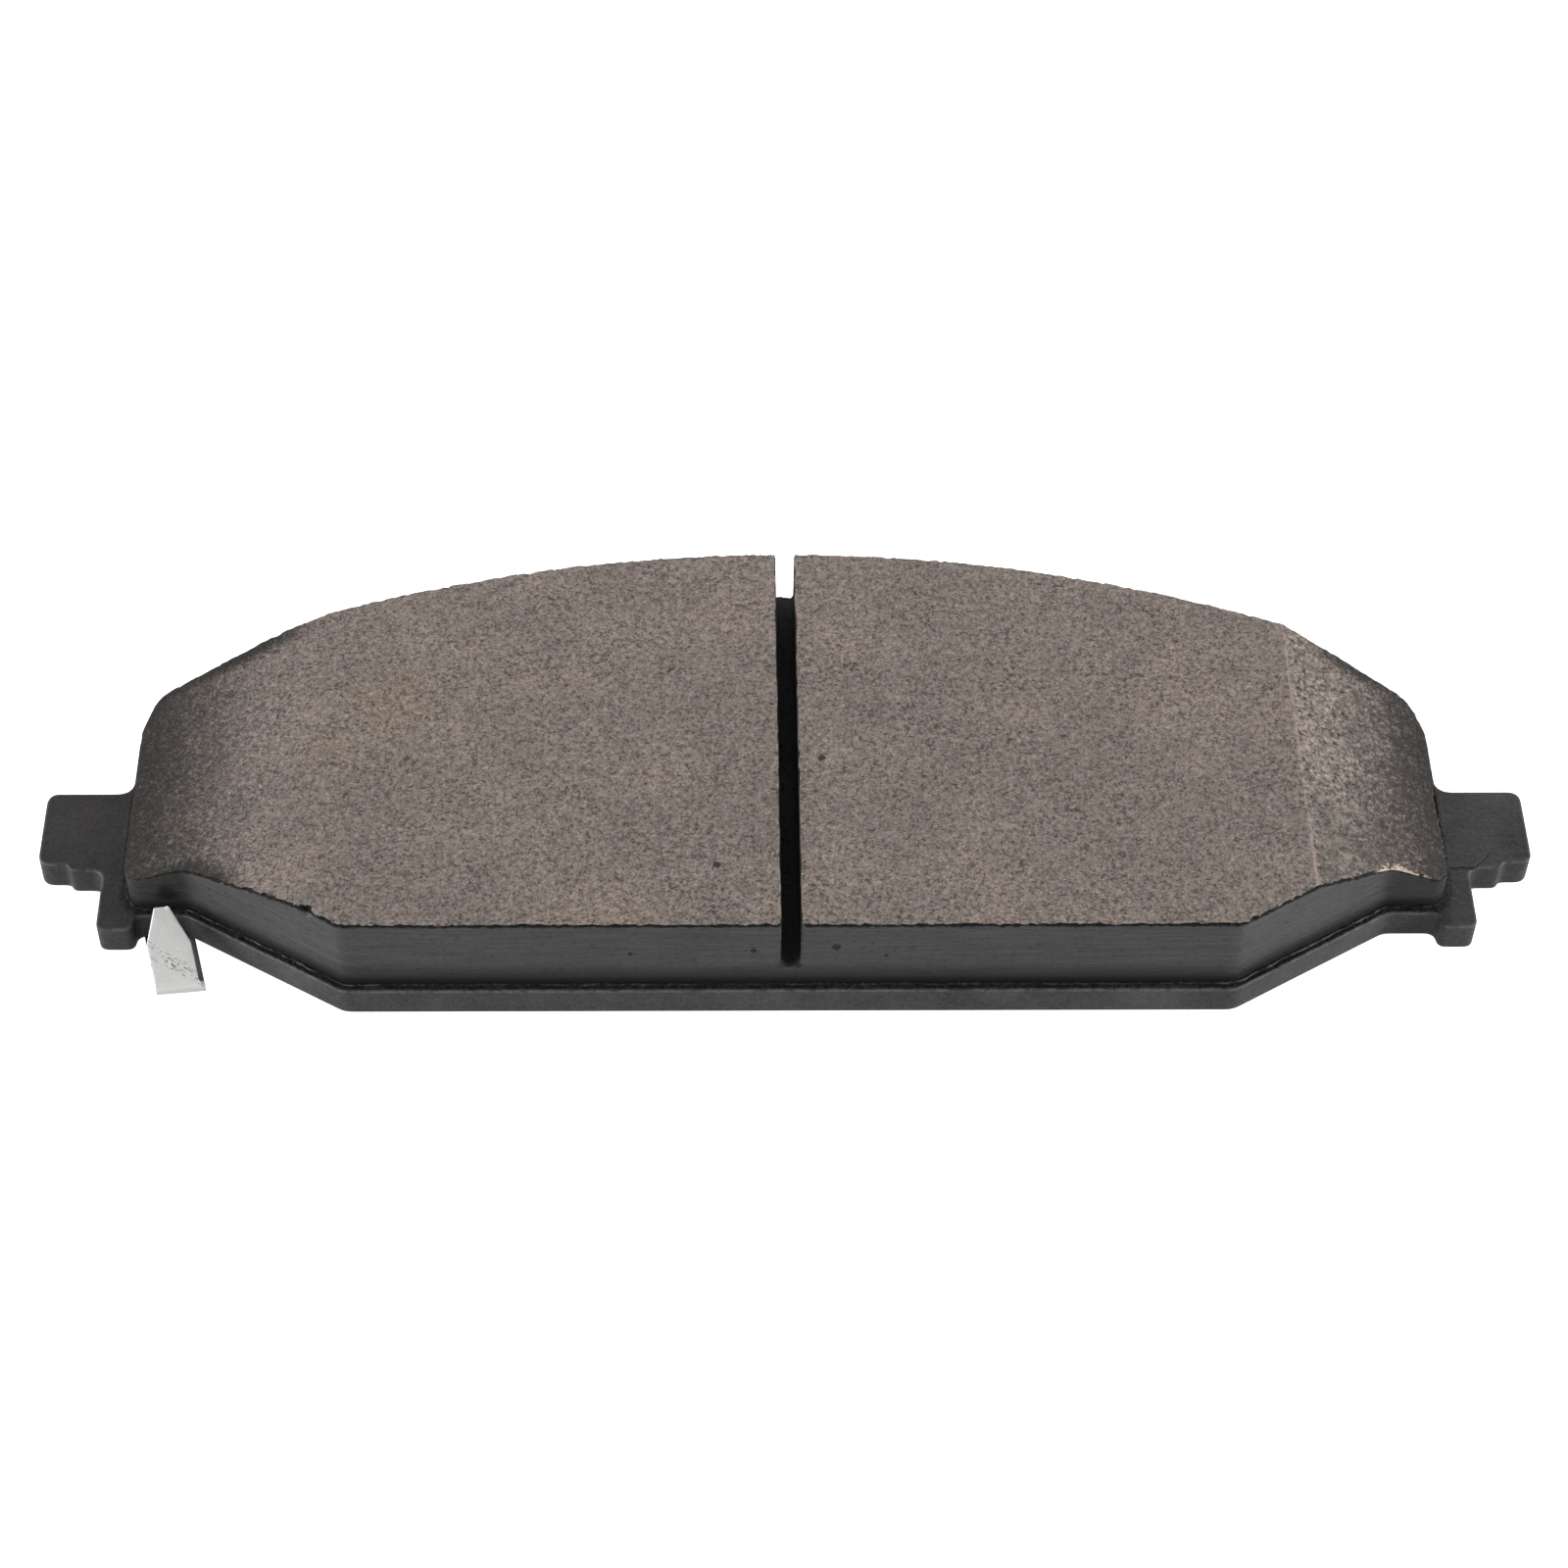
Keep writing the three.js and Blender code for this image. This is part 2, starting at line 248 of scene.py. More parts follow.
def smoothed(loop, passes, share=None):
    """Softens the corners of an evenly spaced loop, by a share at each point."""
    share = np.ones(len(loop)) if share is None else share
    for _ in range(passes):
        middle = (np.roll(loop, 1, 0) + np.roll(loop, -1, 0)) / 2
        loop = loop + 0.5 * share[:, None] * (middle - loop)
    return loop


def outward(loop):
    """The outward unit normal at each point of an anticlockwise loop."""
    along = np.roll(loop, -1, 0) - np.roll(loop, 1, 0)
    normal = np.column_stack([along[:, 1], -along[:, 0]])
    return normal / np.linalg.norm(normal, axis=1)[:, None]


def inset_by(loop, distance):
    """The loop drawn in by a distance, in small steps that keep it from folding."""
    steps = max(1, math.ceil(abs(distance) / 0.05))
    for _ in range(steps):
        loop = smoothed(loop - outward(loop) * distance / steps, 2, np.full(len(loop), 0.5))
    return loop


def circle(centre, radius, count=48):
    turn = np.arange(count) / count * 2 * math.pi
    return np.column_stack([centre[0] + radius * np.cos(turn), centre[1] + radius * np.sin(turn)])


def quarter(radius, steps):
    """Points of a quarter round as (inset, height), from the flat face to the wall."""
    turn = np.arange(steps + 1) / steps * math.pi / 2
    return [(radius * (1 - math.sin(a)), radius * (1 - math.cos(a))) for a in turn]


def within(points, loop):
    """Which points lie inside the loop."""
    following = np.roll(loop, -1, 0)
    inside = np.zeros(len(points), bool)
    for (x0, y0), (x1, y1) in zip(loop, following):
        if y0 != y1:
            crosses = (points[:, 1] < y0) != (points[:, 1] < y1)
            at = x0 + (points[:, 1] - y0) * (x1 - x0) / (y1 - y0)
            inside ^= crosses & (points[:, 0] < at)
    return inside


# ---------------------------------------------------------------- meshes


def wander(points, size, seed):
    """Smooth noise from -1 to 1 at each point, with lumps of the given size."""
    place = np.atleast_2d(points) / size + seed * 17.31
    cell = np.floor(place).astype(np.int64)
    part = place - cell
    blend = part * part * (3 - 2 * part)
    primes = np.array([73856093, 19349663, 83492791])[: place.shape[1]]
    total = np.zeros(len(place))
    for corner in np.ndindex(*(2,) * place.shape[1]):
        code = ((cell + corner) * primes).sum(1) + seed * 668265263
        code = ((code ^ (code >> 13)) * 1274126177) & 0x7FFFFFFF
        value = ((code ^ (code >> 15)) & 0xFFFF) / 32767.5 - 1
        total += value * np.prod(np.where(corner, blend, 1 - blend), axis=1)
    return total


class Shell:
    """Collects the points and faces of one closed piece, in millimetres."""

    def __init__(self):
        self.points = []
        self.faces = []
        self.count = 0

    def add(self, points):
        """Adds points and returns their numbers."""
        points = np.asarray(points, float).reshape(-1, 3)
        self.points.append(points)
        numbers = np.arange(self.count, self.count + len(points))
        self.count += len(points)
        return numbers

    def ring(self, loop, level):
        return self.add(np.column_stack([loop, np.broadcast_to(level, len(loop))]))

    def bridge(self, lower, upper):
        """Quads between two closed rings, facing away from an anticlockwise ring."""
        a, b = lower, np.roll(lower, -1)
        c, d = np.roll(upper, -1), upper
        self.faces.append(np.column_stack([a, b, c, d]))

    def grid(self, points, flip=False):
        """Quads over a rows x columns x 3 array, facing up when Y rises along the rows."""
        rows, columns = points.shape[:2]
        numbers = self.add(points).reshape(rows, columns)
        quads = np.stack(
            [numbers[:-1, :-1], numbers[:-1, 1:], numbers[1:, 1:], numbers[1:, :-1]], -1
        ).reshape(-1, 4)
        self.faces.append(quads[:, ::-1] if flip else quads)

    def cap(self, rings, level, spacing, up):
        """Fills the first ring flat, round the other rings, with points every spacing."""
        loops = [np.concatenate(self.points)[ring][:, :2] for ring in rings]
        outer = loops[0]
        low, high = outer.min(0), outer.max(0)
        across = [np.arange(low[k] + spacing / 2, high[k], spacing) for k in (0, 1)]
        mesh = np.stack(np.meshgrid(*across), -1)
        mesh[1::2, :, 0] += spacing / 2
        inner = mesh.reshape(-1, 2)
        inner = inner[within(inner, inset_by(outer, spacing * 0.6))]
        for hole in loops[1:]:
            centre = hole.mean(0)
            reach = np.linalg.norm(hole - centre, axis=1).max()
            inner = inner[np.linalg.norm(inner - centre, axis=1) > reach + spacing * 0.5]
        numbers = np.concatenate([*rings, self.ring(inner, level)])
        flat = np.vstack([*loops, inner])
        edges, start = [], 0
        for loop in loops:
            edges += [(start + k, start + (k + 1) % len(loop)) for k in range(len(loop))]
            start += len(loop)
        found = delaunay_2d_cdt([Vector(p) for p in flat], edges, [], 1, 1e-7)
        source = [origin[0] if origin else -1 for origin in found[3]]
        triangles = np.array([[source[k] for k in face] for face in found[2]])
        middles = flat[triangles].mean(1)
        keep = np.ones(len(triangles), bool)
        for hole in loops[1:]:
            keep &= ~within(middles, hole)
        triangles = numbers[triangles[keep]]
        self.faces.append(triangles if up else triangles[:, ::-1])

    def welded(self):
        """Points without doubles, and the faces over them without empty ones."""
        points = np.concatenate(self.points)
        _, first, back = np.unique(
            np.round(points, 4), axis=0, return_index=True, return_inverse=True
        )
        back = back.reshape(-1)
        faces = []
        for block in self.faces:
            for face in back[block]:
                kept = [v for k, v in enumerate(face) if v != face[k - 1]]
                if len(set(kept)) == len(kept) > 2:
                    faces.append(kept)
        return points[first], faces


def make_piece(name, points, faces, material, sharp_angle=32, values=None):
    """A smooth-shaded object from points in millimetres, with values stored on them."""
    mesh = bpy.data.meshes.new(name)
    mesh.from_pydata((points * MM).tolist(), [], faces)
    mesh.validate()
    for label, numbers in (values or {}).items():
        stored = mesh.attributes.new(label, "FLOAT", "POINT")
        stored.data.foreach_set("value", np.asarray(numbers, np.float32))
    mesh.shade_smooth()
    mesh.set_sharp_from_angle(angle=math.radians(sharp_angle))
    mesh.materials.append(material)
    made = bpy.data.objects.new(name, mesh)
    bpy.context.scene.collection.objects.link(made)
    return made


def settle(made, slot, *nodes):
    """Hands a finished piece to the frame, in the place of its CAD nodes."""
    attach(made, "root")
    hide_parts(*nodes)


def levels_of(node):
    low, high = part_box(node)
    return mm(low.z), mm(high.z)


# ---------------------------------------------------------------- friction block


class BlockPlan:
    """Where the friction block's faces lie, read from its CAD node."""

    def __init__(self, sizes):
        node = "friction_block"
        self.bottom, self.top = levels_of(node)
        outline = resampled(cad_loops(node, self.bottom)[0], 0.2)
        corners = [np.array([end, self.upper_end(outline, end)])
                   for end in (outline[:, 0].min(), outline[:, 0].max())]
        away = np.min([np.linalg.norm(outline - corner, axis=1) for corner in corners], axis=0)
        share = np.clip(1.2 - away / mm(sizes.corner_blend), 0, 1)
        self.outline = smoothed(smoothed(outline, 6), 120, share)
        left_face, right_face = sorted(cad_loops(node, self.top), key=lambda f: f[:, 0].min())
        self.slot = (left_face[:, 0].max(), right_face[:, 0].min())
        self.chamfers = (left_face[:, 0].min(), right_face[:, 0].max())
        self.blends = (mm(sizes.left_blend), mm(sizes.right_blend))
        points = np.array([v.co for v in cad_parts[node].data.vertices]) / MM
        self.ends = (self.outline[:, 0].min(), self.outline[:, 0].max())
        in_slot = (points[:, 0] >= self.slot[0] - 0.01) & (points[:, 0] <= self.slot[1] + 0.01)
        above = points[:, 2] > self.bottom + 0.1
        self.slot_floor = points[in_slot & above, 2].min()
        self.end_levels = [
            points[np.abs(points[:, 0] - end) < 0.01, 2].max()
            for end in (points[:, 0].min(), points[:, 0].max())
        ]

    @staticmethod
    def upper_end(outline, end):
        """The Y at which one end of the block turns into its crown."""
        at_end = outline[np.abs(outline[:, 0] - end) < 2.5]
        return at_end[:, 1].max()

    def level(self, x):
        """The height of the face, with its two chamfers, along the pad."""
        x = np.asarray(x, float)
        level = np.full(x.shape, self.top)
        for start, end, low, blend in zip(self.chamfers, self.ends, self.end_levels, self.blends):
            slope = (self.top - low) / abs(end - start)
            past = (x - start) * math.copysign(1, end)
            soft = slope * (past + blend) ** 2 / (4 * blend)
            drop = np.where(past > blend, slope * past, np.where(past > -blend, soft, 0))
            level = level - drop
        return level

    def sides(self, x):
        """The lower and the upper edge of the outline at each X."""
        edges = []
        left, right = self.outline[:, 0].argmin(), self.outline[:, 0].argmax()
        lower = np.roll(self.outline, -left, 0)[: (right - left) % len(self.outline) + 1]
        upper = np.roll(self.outline, -right, 0)[: (left - right) % len(self.outline) + 1]
        for chain in (lower, upper[::-1]):
            rising = np.maximum.accumulate(chain[:, 0])
            edges.append(np.interp(x, rising, chain[:, 1]))
        return edges


# Shares of the wall's height, close together near the ground edge.
WALL_STEPS = (
    0, 0.05, 0.12, 0.2, 0.231, 0.28, 0.33, 0.38, 0.43, 0.48, 0.53, 0.58, 0.63, 0.68,
    0.73, 0.78, 0.82, 0.86, 0.895, 0.925, 0.95, 0.97, 0.986, 1,
)
# The wall step that lies level with the top of the slot's rounded floor.
SLOT_STEP = 4
# Distances of the rows and columns from the edges of the outline and of the slot.
EDGE_ROWS = (0, 0.09, 0.19, 0.31, 0.46, 0.66, 0.95, 1.4, 2.0)
END_COLUMNS = (0, 0.01, 0.03, 0.07, 0.13, 0.21, 0.32, 0.46, 0.63, 0.83)
MIDDLE_ROWS = 40
COLUMN_SPACING = 0.3
FIRST_EVEN_COLUMN = 1.05
EVEN_COLUMN_GAP = 0.2
ROOM_OUTSIDE_EVEN = 3.3


def block_columns(plan):
    """The X of each column, on the left and on the right of the slot."""
    columns = []
    for end, wall in zip(plan.ends, plan.slot):
        reach = abs(end - wall)
        count = int((reach - ROOM_OUTSIDE_EVEN) / COLUMN_SPACING)
        last_even = reach - EDGE_ROWS[-1] - EVEN_COLUMN_GAP
        even = np.linspace(FIRST_EVEN_COLUMN, last_even, count)
        away = np.concatenate([END_COLUMNS, even, reach - np.array(EDGE_ROWS)[::-1]])
        columns.append(np.sort(end - math.copysign(1, end) * away))
    return columns


def rows_at(plan, x):
    """Points across the pad at each X: close together at both edges."""
    low, high = plan.sides(x)
    both_edges = 2.2 * EDGE_ROWS[-1]
    fit = np.minimum(1, (high - low) / both_edges)
    edge = np.array(EDGE_ROWS)[:, None] * fit
    inner = np.linspace(0, 1, MIDDLE_ROWS)[1:-1]
    start, stop = low + edge[-1], high - edge[-1]
    middle = start + inner[:, None] * (stop - start)
    return np.vstack([low + edge, middle, high - edge[::-1]])


def sheet(x, y, z):
    """Rows x columns x 3 from coordinates that are single values, rows or whole arrays."""
    return np.stack(np.broadcast_arrays(x, y, z), -1)


def slot_profile(plan, radius):
    """The slot's section from left to right: wall, rounded floor, wall."""
    height = plan.top - plan.bottom
    steps = plan.bottom + height * np.array(WALL_STEPS[SLOT_STEP:])[::-1]
    turn = np.linspace(0, math.pi / 2, 6)[1:]
    sweep = min(radius, (plan.slot[1] - plan.slot[0]) / 2 - 0.1)
    rise = steps[-1] - plan.slot_floor
    left = [(plan.slot[0], z) for z in steps]
    left += [
        (plan.slot[0] + sweep * (1 - math.cos(a)), steps[-1] - rise * math.sin(a)) for a in turn
    ]
    middle = sum(plan.slot) / 2
    right = [(2 * middle - x, z) for x, z in reversed(left)]
    return np.array([*left, (middle, plan.slot_floor), *right])


def block_shell(plan, radius):
    """The closed block: ground face with its slot, outer walls and underside."""
    shell = Shell()
    left, right = block_columns(plan)
    slot = slot_profile(plan, radius)
    across = np.concatenate([left, slot[1:-1, 0], right])
    levels = np.concatenate([plan.level(left), slot[1:-1, 1], plan.level(right)])
    shell.grid(sheet(across, rows_at(plan, across), levels))
    steps = np.array(WALL_STEPS)
    wall_points = len(WALL_STEPS) - SLOT_STEP - 1
    floor = slot[wall_points:-wall_points]
    spans = [
        (left, plan.level(left), steps),
        (floor[:, 0], floor[:, 1], steps[: SLOT_STEP + 1] / steps[SLOT_STEP]),
        (right, plan.level(right), steps),
    ]
    for x, top, share in spans:
        heights = plan.bottom + share[:, None] * (top - plan.bottom)
        for edge, flip in zip(plan.sides(x), (False, True)):
            shell.grid(sheet(x, edge, heights), flip)
        shell.grid(sheet(x, rows_at(plan, x), plan.bottom), True)
    for end, flip in zip(plan.ends, (True, False)):
        column = rows_at(plan, np.array([end]))[:, 0]
        top = plan.level(end)
        heights = plan.bottom + steps[:, None] * (top - plan.bottom)
        shell.grid(sheet(end, column, heights), flip)
    return shell


def nearest_outline(loop, points):
    """Distance to a loop and its outward normal there, for points in the plane."""
    tree = KDTree(len(loop))
    for number, (x, y) in enumerate(loop):
        tree.insert((x, y, 0), number)
    tree.balance()
    nearest = np.array([tree.find((x, y, 0))[1] for x, y in points])
    normal = outward(loop)[nearest]
    return np.abs(((points - loop[nearest]) * normal).sum(1)), normal


def chip_sizes(points, sizes):
    """How large the chip is along the ground edge at each point."""
    flat = points * [1, 1, 0]
    fine = 1 + 0.55 * wander(flat, 0.55, 3) + 0.35 * wander(flat, 1.7, 4)
    rare = np.clip(wander(flat, 2.3, 5) - 0.52, 0, 1) * 2.1
    size = mm(sizes.edge_chip) * (fine + rare)
    x, y, _ = points.T
    left_slant = (y < 0) & (x < -58) & (x > -78)
    size = np.where(left_slant, size * 1.35, size)
    coated_end = x < -84
    return np.where(coated_end, size * 0.3, size)


# The X of each large pit in the lower ground edge, and its share of the largest radius.
EDGE_PITS = (
    (-62.9, 1.1), (-60.6, 0.5), (-65.3, 0.4), (-67.4, 0.5), (-71.4, 0.6), (-75.0, 0.4),
    (76.5, 0.45), (60.2, 0.5), (66.0, 0.35), (31.0, 0.4), (-29.0, 0.35),
)


def edge_pits(points, walk, sizes):
    """Depth of the rounded pits broken out of the lower ground edge."""
    depth = np.zeros(len(points))
    lower = points[:, 1] < 0
    jag = 1 + 0.35 * wander(points, 0.45, 7)
    for x, share in EDGE_PITS:
        radius = mm(sizes.deep_chip) * share
        away = ((points[:, 0] - x) ** 2 + walk ** 2) / (radius * jag) ** 2
        depth = np.maximum(depth, lower * 0.55 * radius * np.exp(-away ** 1.5))
    return depth


class BlockSkin:
    """How far each of the block's points lies from its outline, its face and its slot."""

    def __init__(self, plan, points):
        x, _, z = points.T
        self.points = points
        self.rim, self.normal = nearest_outline(plan.outline, points[:, :2])
        self.drop = np.clip(plan.level(x) - z, 0, None)
        self.above_underside = z > plan.bottom + 0.1
        self.above_slot_floor = z > plan.slot_floor - 0.2
        middle = sum(plan.slot) / 2
        from_slot = np.abs(x - middle) - (plan.slot[1] - plan.slot[0]) / 2
        self.in_slot = (from_slot < 1e-3) & (self.rim > 1e-3) & self.above_underside
        self.beside_slot = np.clip(from_slot, 0, None)
        self.to_slot = np.column_stack([-np.sign(x - middle), 0 * self.rim])
        self.wall = (self.rim < 1e-3) & (self.drop > 0.05)

    def edge_cut(self, sizes):
        """How deep each point is chipped, and the outward way of the nearer wall."""
        outer_walk = self.rim + self.drop
        slot_walk = np.where(self.in_slot, self.drop, self.beside_slot + self.drop)
        near_slot = slot_walk < outer_walk
        walk = np.where(near_slot, slot_walk, outer_walk)
        chips = chip_sizes(self.points, sizes) * np.where(near_slot, 0.6, 1)
        cut = np.clip(chips - walk, 0, None) / 2
        cut *= 1 + 0.35 * wander(self.points, 0.4, 9)
        cut = np.maximum(cut, edge_pits(self.points, outer_walk, sizes))
        return cut, np.where(near_slot[:, None], self.to_slot, self.normal)

    def mouth_cut(self, sizes):
        """How far the two ends of the slot are frayed."""
        uneven = 1.4 + 1.8 * wander(self.points, 0.5, 16) + wander(self.points, 1.4, 17)
        ragged = mm(sizes.edge_chip) * uneven
        mouth = np.clip(ragged - (self.beside_slot + self.rim), 0, None) / 2
        return mouth * self.above_slot_floor

    def wall_ripple(self):
        """How far the outer walls are drawn in by their unevenness."""
        long = 0.035 * wander(self.points * [1, 1, 4], 2.6, 11)
        short = 0.02 * wander(self.points, 0.7, 12)
        return np.clip(long + short + 0.02, 0, None) * self.wall

    def pitting(self):
        """How deep the face and the slot's walls are roughened."""
        skin = np.where(self.in_slot, 0.05, 0.012) * wander(self.points, 0.5, 14)
        return np.clip(skin, 0, None) * (~self.wall & self.above_underside)


def friction_block(context):
    """The moulded block: ground, chamfered and slotted, with broken edges."""
    sizes = sizes_of(context)
    plan = BlockPlan(sizes)
    points, faces = block_shell(plan, mm(sizes.slot_floor_radius)).welded()
    skin = BlockSkin(plan, points)
    cut, side = skin.edge_cut(sizes)
    mouth = skin.mouth_cut(sizes)
    below_face = np.clip(skin.drop / 0.3, 0, 1)
    moved = points.copy()
    moved[:, :2] -= side * cut[:, None]
    moved[:, 2] -= cut
    moved[:, :2] -= (skin.to_slot + skin.normal) * mouth[:, None] * below_face[:, None]
    moved[:, :2] -= skin.normal * skin.wall_ripple()[:, None]
    moved[:, 2] -= skin.pitting()
    values = {"rim": skin.rim, "drop": skin.drop, "channel": skin.in_slot,
              "chip": np.maximum(cut, mouth)}
    material = compound_material(context)
    made = make_piece("ground_friction_block", moved, faces, material, 40, values)
    settle(made, "friction_compound", "friction_block")


# ---------------------------------------------------------------- plate and layers

LEDGE_WIDTH = 1.6
BURR_HEIGHT = 0.12


def plate_holes(node, level):
    """Centre and radius of each round hole in a flat face."""
    found = []
    for loop in cad_loops(node, level)[1:]:
        centre = (loop.min(0) + loop.max(0)) / 2
        found.append((centre, np.linalg.norm(loop - centre, axis=1).max()))
    return found


def backing_plate(context):
    """The blanked plate: rolled back edges, upright sides and a narrow front bevel."""
    sizes = sizes_of(context)
    bottom, top = levels_of("backing_plate")
    outline = smoothed(resampled(cad_loops("backing_plate", bottom)[0], 0.22), 5)
    roll, bevel = mm(sizes.plate_roll), mm(sizes.plate_bevel)
    shell = Shell()
    rings = []
    for inset, rise in quarter(roll, 7):
        rings.append(shell.ring(inset_by(outline, inset), bottom + rise))
    for share in (0.2, 0.4, 0.6, 0.8, 0.95):
        level = bottom + roll + share * (top - bevel - bottom - roll)
        rings.append(shell.ring(outline, level))
    for inset, fall in ((0, 1), (0.3, 0.35), (1, 0)):
        rings.append(shell.ring(inset_by(outline, inset * bevel), top - fall * bevel))
    for inset in (0.35, 0.6, 0.85):
        rings.append(shell.ring(inset_by(outline, inset), top))
    for lower, upper in zip(rings, rings[1:]):
        shell.bridge(lower, upper)
    holes = [plate_holes("backing_plate", level) for level in (bottom, top)]
    walls = []
    for (centre, low_radius), (_, high_radius) in zip(*map(by_place, holes)):
        low, high = circle(centre, low_radius), circle(centre, high_radius)
        flare = high_radius - low_radius
        neck = top - mm(sizes.rivet_flare) if flare > 0.1 else top
        steps = [shell.ring(low, bottom), shell.ring(low, neck)]
        if flare > 0.1:
            steps.append(shell.ring(high, top))
        walls.append(steps)
        for lower, upper in zip(steps, steps[1:]):
            shell.bridge(upper, lower)
    shell.cap([rings[0], *(steps[0] for steps in walls)], bottom, 1.6, False)
    shell.cap([rings[-1], *(steps[-1] for steps in walls)], top, 0.9, True)
    points, faces = shell.welded()
    wave = wander(points, 1.3, 21) + 0.6 * wander(points, 0.5, 22)
    block = BlockPlan(sizes)
    gap, _ = nearest_outline(block.outline, points[:, :2])
    outside = ~within(points[:, :2], block.outline)
    front = (points[:, 2] > top - 1e-3) & outside
    ledge = np.clip(LEDGE_WIDTH - gap, 0, LEDGE_WIDTH) / LEDGE_WIDTH
    points[:, 2] += front * mm(sizes.ledge_wave) * wave * (0.25 + ledge)
    edge = (points[:, 2] > top - bevel - 1e-3) & (points[:, 2] < top - 1e-3)
    burr = np.clip(wander(points * [1, 1, 0], 1.1, 24) - 0.35, 0, 1)
    points[:, 2] += edge * burr * BURR_HEIGHT
    fall = np.clip(top - points[:, 2], 0, 9)
    inner, _ = nearest_outline(outline, points[:, :2])
    values = {"gap": np.where(outside, gap, 0), "fall": fall, "edge": fall + inner}
    made = make_piece("coated_backing_plate", points, faces, coat_material(context), 50, values)
    settle(made, "powder_coated_steel", "backing_plate")


def by_place(holes):
    return sorted(holes, key=lambda hole: (round(hole[0][0], 1), round(hole[0][1], 1)))


def bonding_underlayer(context):
    """The bonding layer: flush with the block's walls, with flash at the plate."""
    sizes = sizes_of(context)
    low, top = levels_of("bonding_underlayer")
    bottom = levels_of("backing_plate")[1]
    outline = BlockPlan(sizes).outline
    flash, height = mm(sizes.flash_width), mm(sizes.flash_height)
    flat = np.column_stack([outline, 0 * outline[:, 0]])
    reach = flash * (1 + 0.5 * wander(flat, 1.1, 31) + 0.3 * wander(flat, 4, 32))
    lip = height * (1 + 0.3 * wander(flat, 1.6, 33))
    normal = outward(outline)
    shell = Shell()
    rings = []
    for share, level in ((1, bottom), (1.02, bottom + 0.6 * lip), (0.9, bottom + 0.92 * lip),
                         (0.6, bottom + lip), (0.12, bottom + 1.05 * lip),
                         (0, bottom + 1.5 * lip), (0, bottom + 0.4 * (top - bottom) + 0.3),
                         (0, bottom + 0.75 * (top - bottom)), (0, top)):
        rings.append(shell.ring(outline + normal * (share * reach)[:, None], level))
    for lower, upper in zip(rings, rings[1:]):
        shell.bridge(lower, upper)
    plugs = []
    for centre, radius in plate_holes("bonding_underlayer", bottom):
        ends = [shell.ring(circle(centre, radius), level) for level in (low, bottom)]
        shell.bridge(ends[0], ends[1])
        shell.cap([ends[0]], low, 1.5, False)
        plugs.append(ends[1])
    shell.cap([rings[0], *plugs], bottom, 2.0, False)
    shell.cap([rings[-1]], top, 2.0, True)
    points, faces = shell.welded()
    out, _ = nearest_outline(outline, points[:, :2])
    values = {"lift": points[:, 2] - bottom, "out": out * ~within(points[:, :2], outline)}
    made = make_piece("bonding_layer", points, faces, moulding_material(context), 40, values)
    settle(made, "underlayer", "bonding_underlayer")


def shim_layers(context):
    """Rubber coat, steel core and adhesive, each with its own soft edge."""
    sizes = sizes_of(context)
    layers = (
        ("rubber_coat", "shim_rubber_coat", "shim_rubber", rubber_material, 0.05),
        ("steel_core", "shim_steel_core", "shim_steel", steel_material, mm(sizes.shim_edge)),
        ("adhesive_film", "shim_adhesive", "adhesive", adhesive_material, 0.04),
    )
    for name, node, slot, material, edge in layers:
        bottom, top = levels_of(node)
        outline = smoothed(resampled(cad_loops(node, bottom)[0], 0.3), 4)
        shell = Shell()
        steps = [(inset, bottom + rise) for inset, rise in quarter(edge, 4)]
        steps += [(inset, top - rise) for inset, rise in reversed(quarter(edge, 4))]
        rings = [shell.ring(inset_by(outline, inset), level) for inset, level in steps]
        for lower, upper in zip(rings, rings[1:]):
            shell.bridge(lower, upper)
        shell.cap([rings[0]], bottom, 1.2, False)
        shell.cap([rings[-1]], top, 1.8, True)
        points, faces = shell.welded()
        made = make_piece(name, points, faces, material(context), 40)
        settle(made, slot, node)


# ---------------------------------------------------------------- wear indicator


def indicator_blank(plan):
    """The flat strip before bending as (across, along), with the bend's start at 0."""
    half, relief = mm(plan.width) / 2, mm(plan.relief)
    eye = mm(plan.eye_radius)
    outer = mm(plan.bend_radius + plan.thickness)
    start = -(mm(plan.leg) - outer)
    bend = bend_length(plan)
    tip = bend + mm(plan.rise_length)
    shoulder = bend + mm(plan.shoulder)
    narrow = mm(plan.tip_width) / 2
    inner = half - relief
    middle = -relief / 2
    meet = math.asin(half / eye)
    return np.array([
        (half, bend), (inner, bend + 0.25), (inner, shoulder), (middle + narrow, tip),
        (middle - narrow, tip), (-half, shoulder), (-half, start + eye * math.cos(meet)),
        *eye_arc(half, eye, start), (half, start + eye * math.cos(meet)),
    ])


def eye_arc(half, eye, start):
    """The round end of the leg, from its left side to its right."""
    meet = math.asin(half / eye)
    turn = np.linspace(math.pi - meet, -math.pi + meet, 60)
    return [(-eye * math.sin(a), start - eye * math.cos(a)) for a in turn]


def bend_length(plan):
    """Along the middle of the strip, round the bend."""
    return mm(plan.bend_radius + plan.thickness / 2) * (math.pi - plan.rise)


def bent(plan, blank, depth):
    """Blank points bent into the indicator's own frame; depth runs out to in, 0 to 1."""
    across, along = blank[:, 0], blank[:, 1]
    thick, radius = mm(plan.thickness), mm(plan.bend_radius)
    outer, bend = radius + thick, bend_length(plan)
    swept = np.clip(along / bend, 0, 1) * (math.pi - plan.rise)
    reach = outer - thick * depth
    y = outer - np.sin(swept) * reach
    z = radius - np.cos(swept) * reach
    before, after = np.clip(-along, 0, None), np.clip(along - bend, 0, None)
    y = y + before + after * math.cos(plan.rise)
    z = z + after * math.sin(plan.rise)
    return np.column_stack([across, y, z])


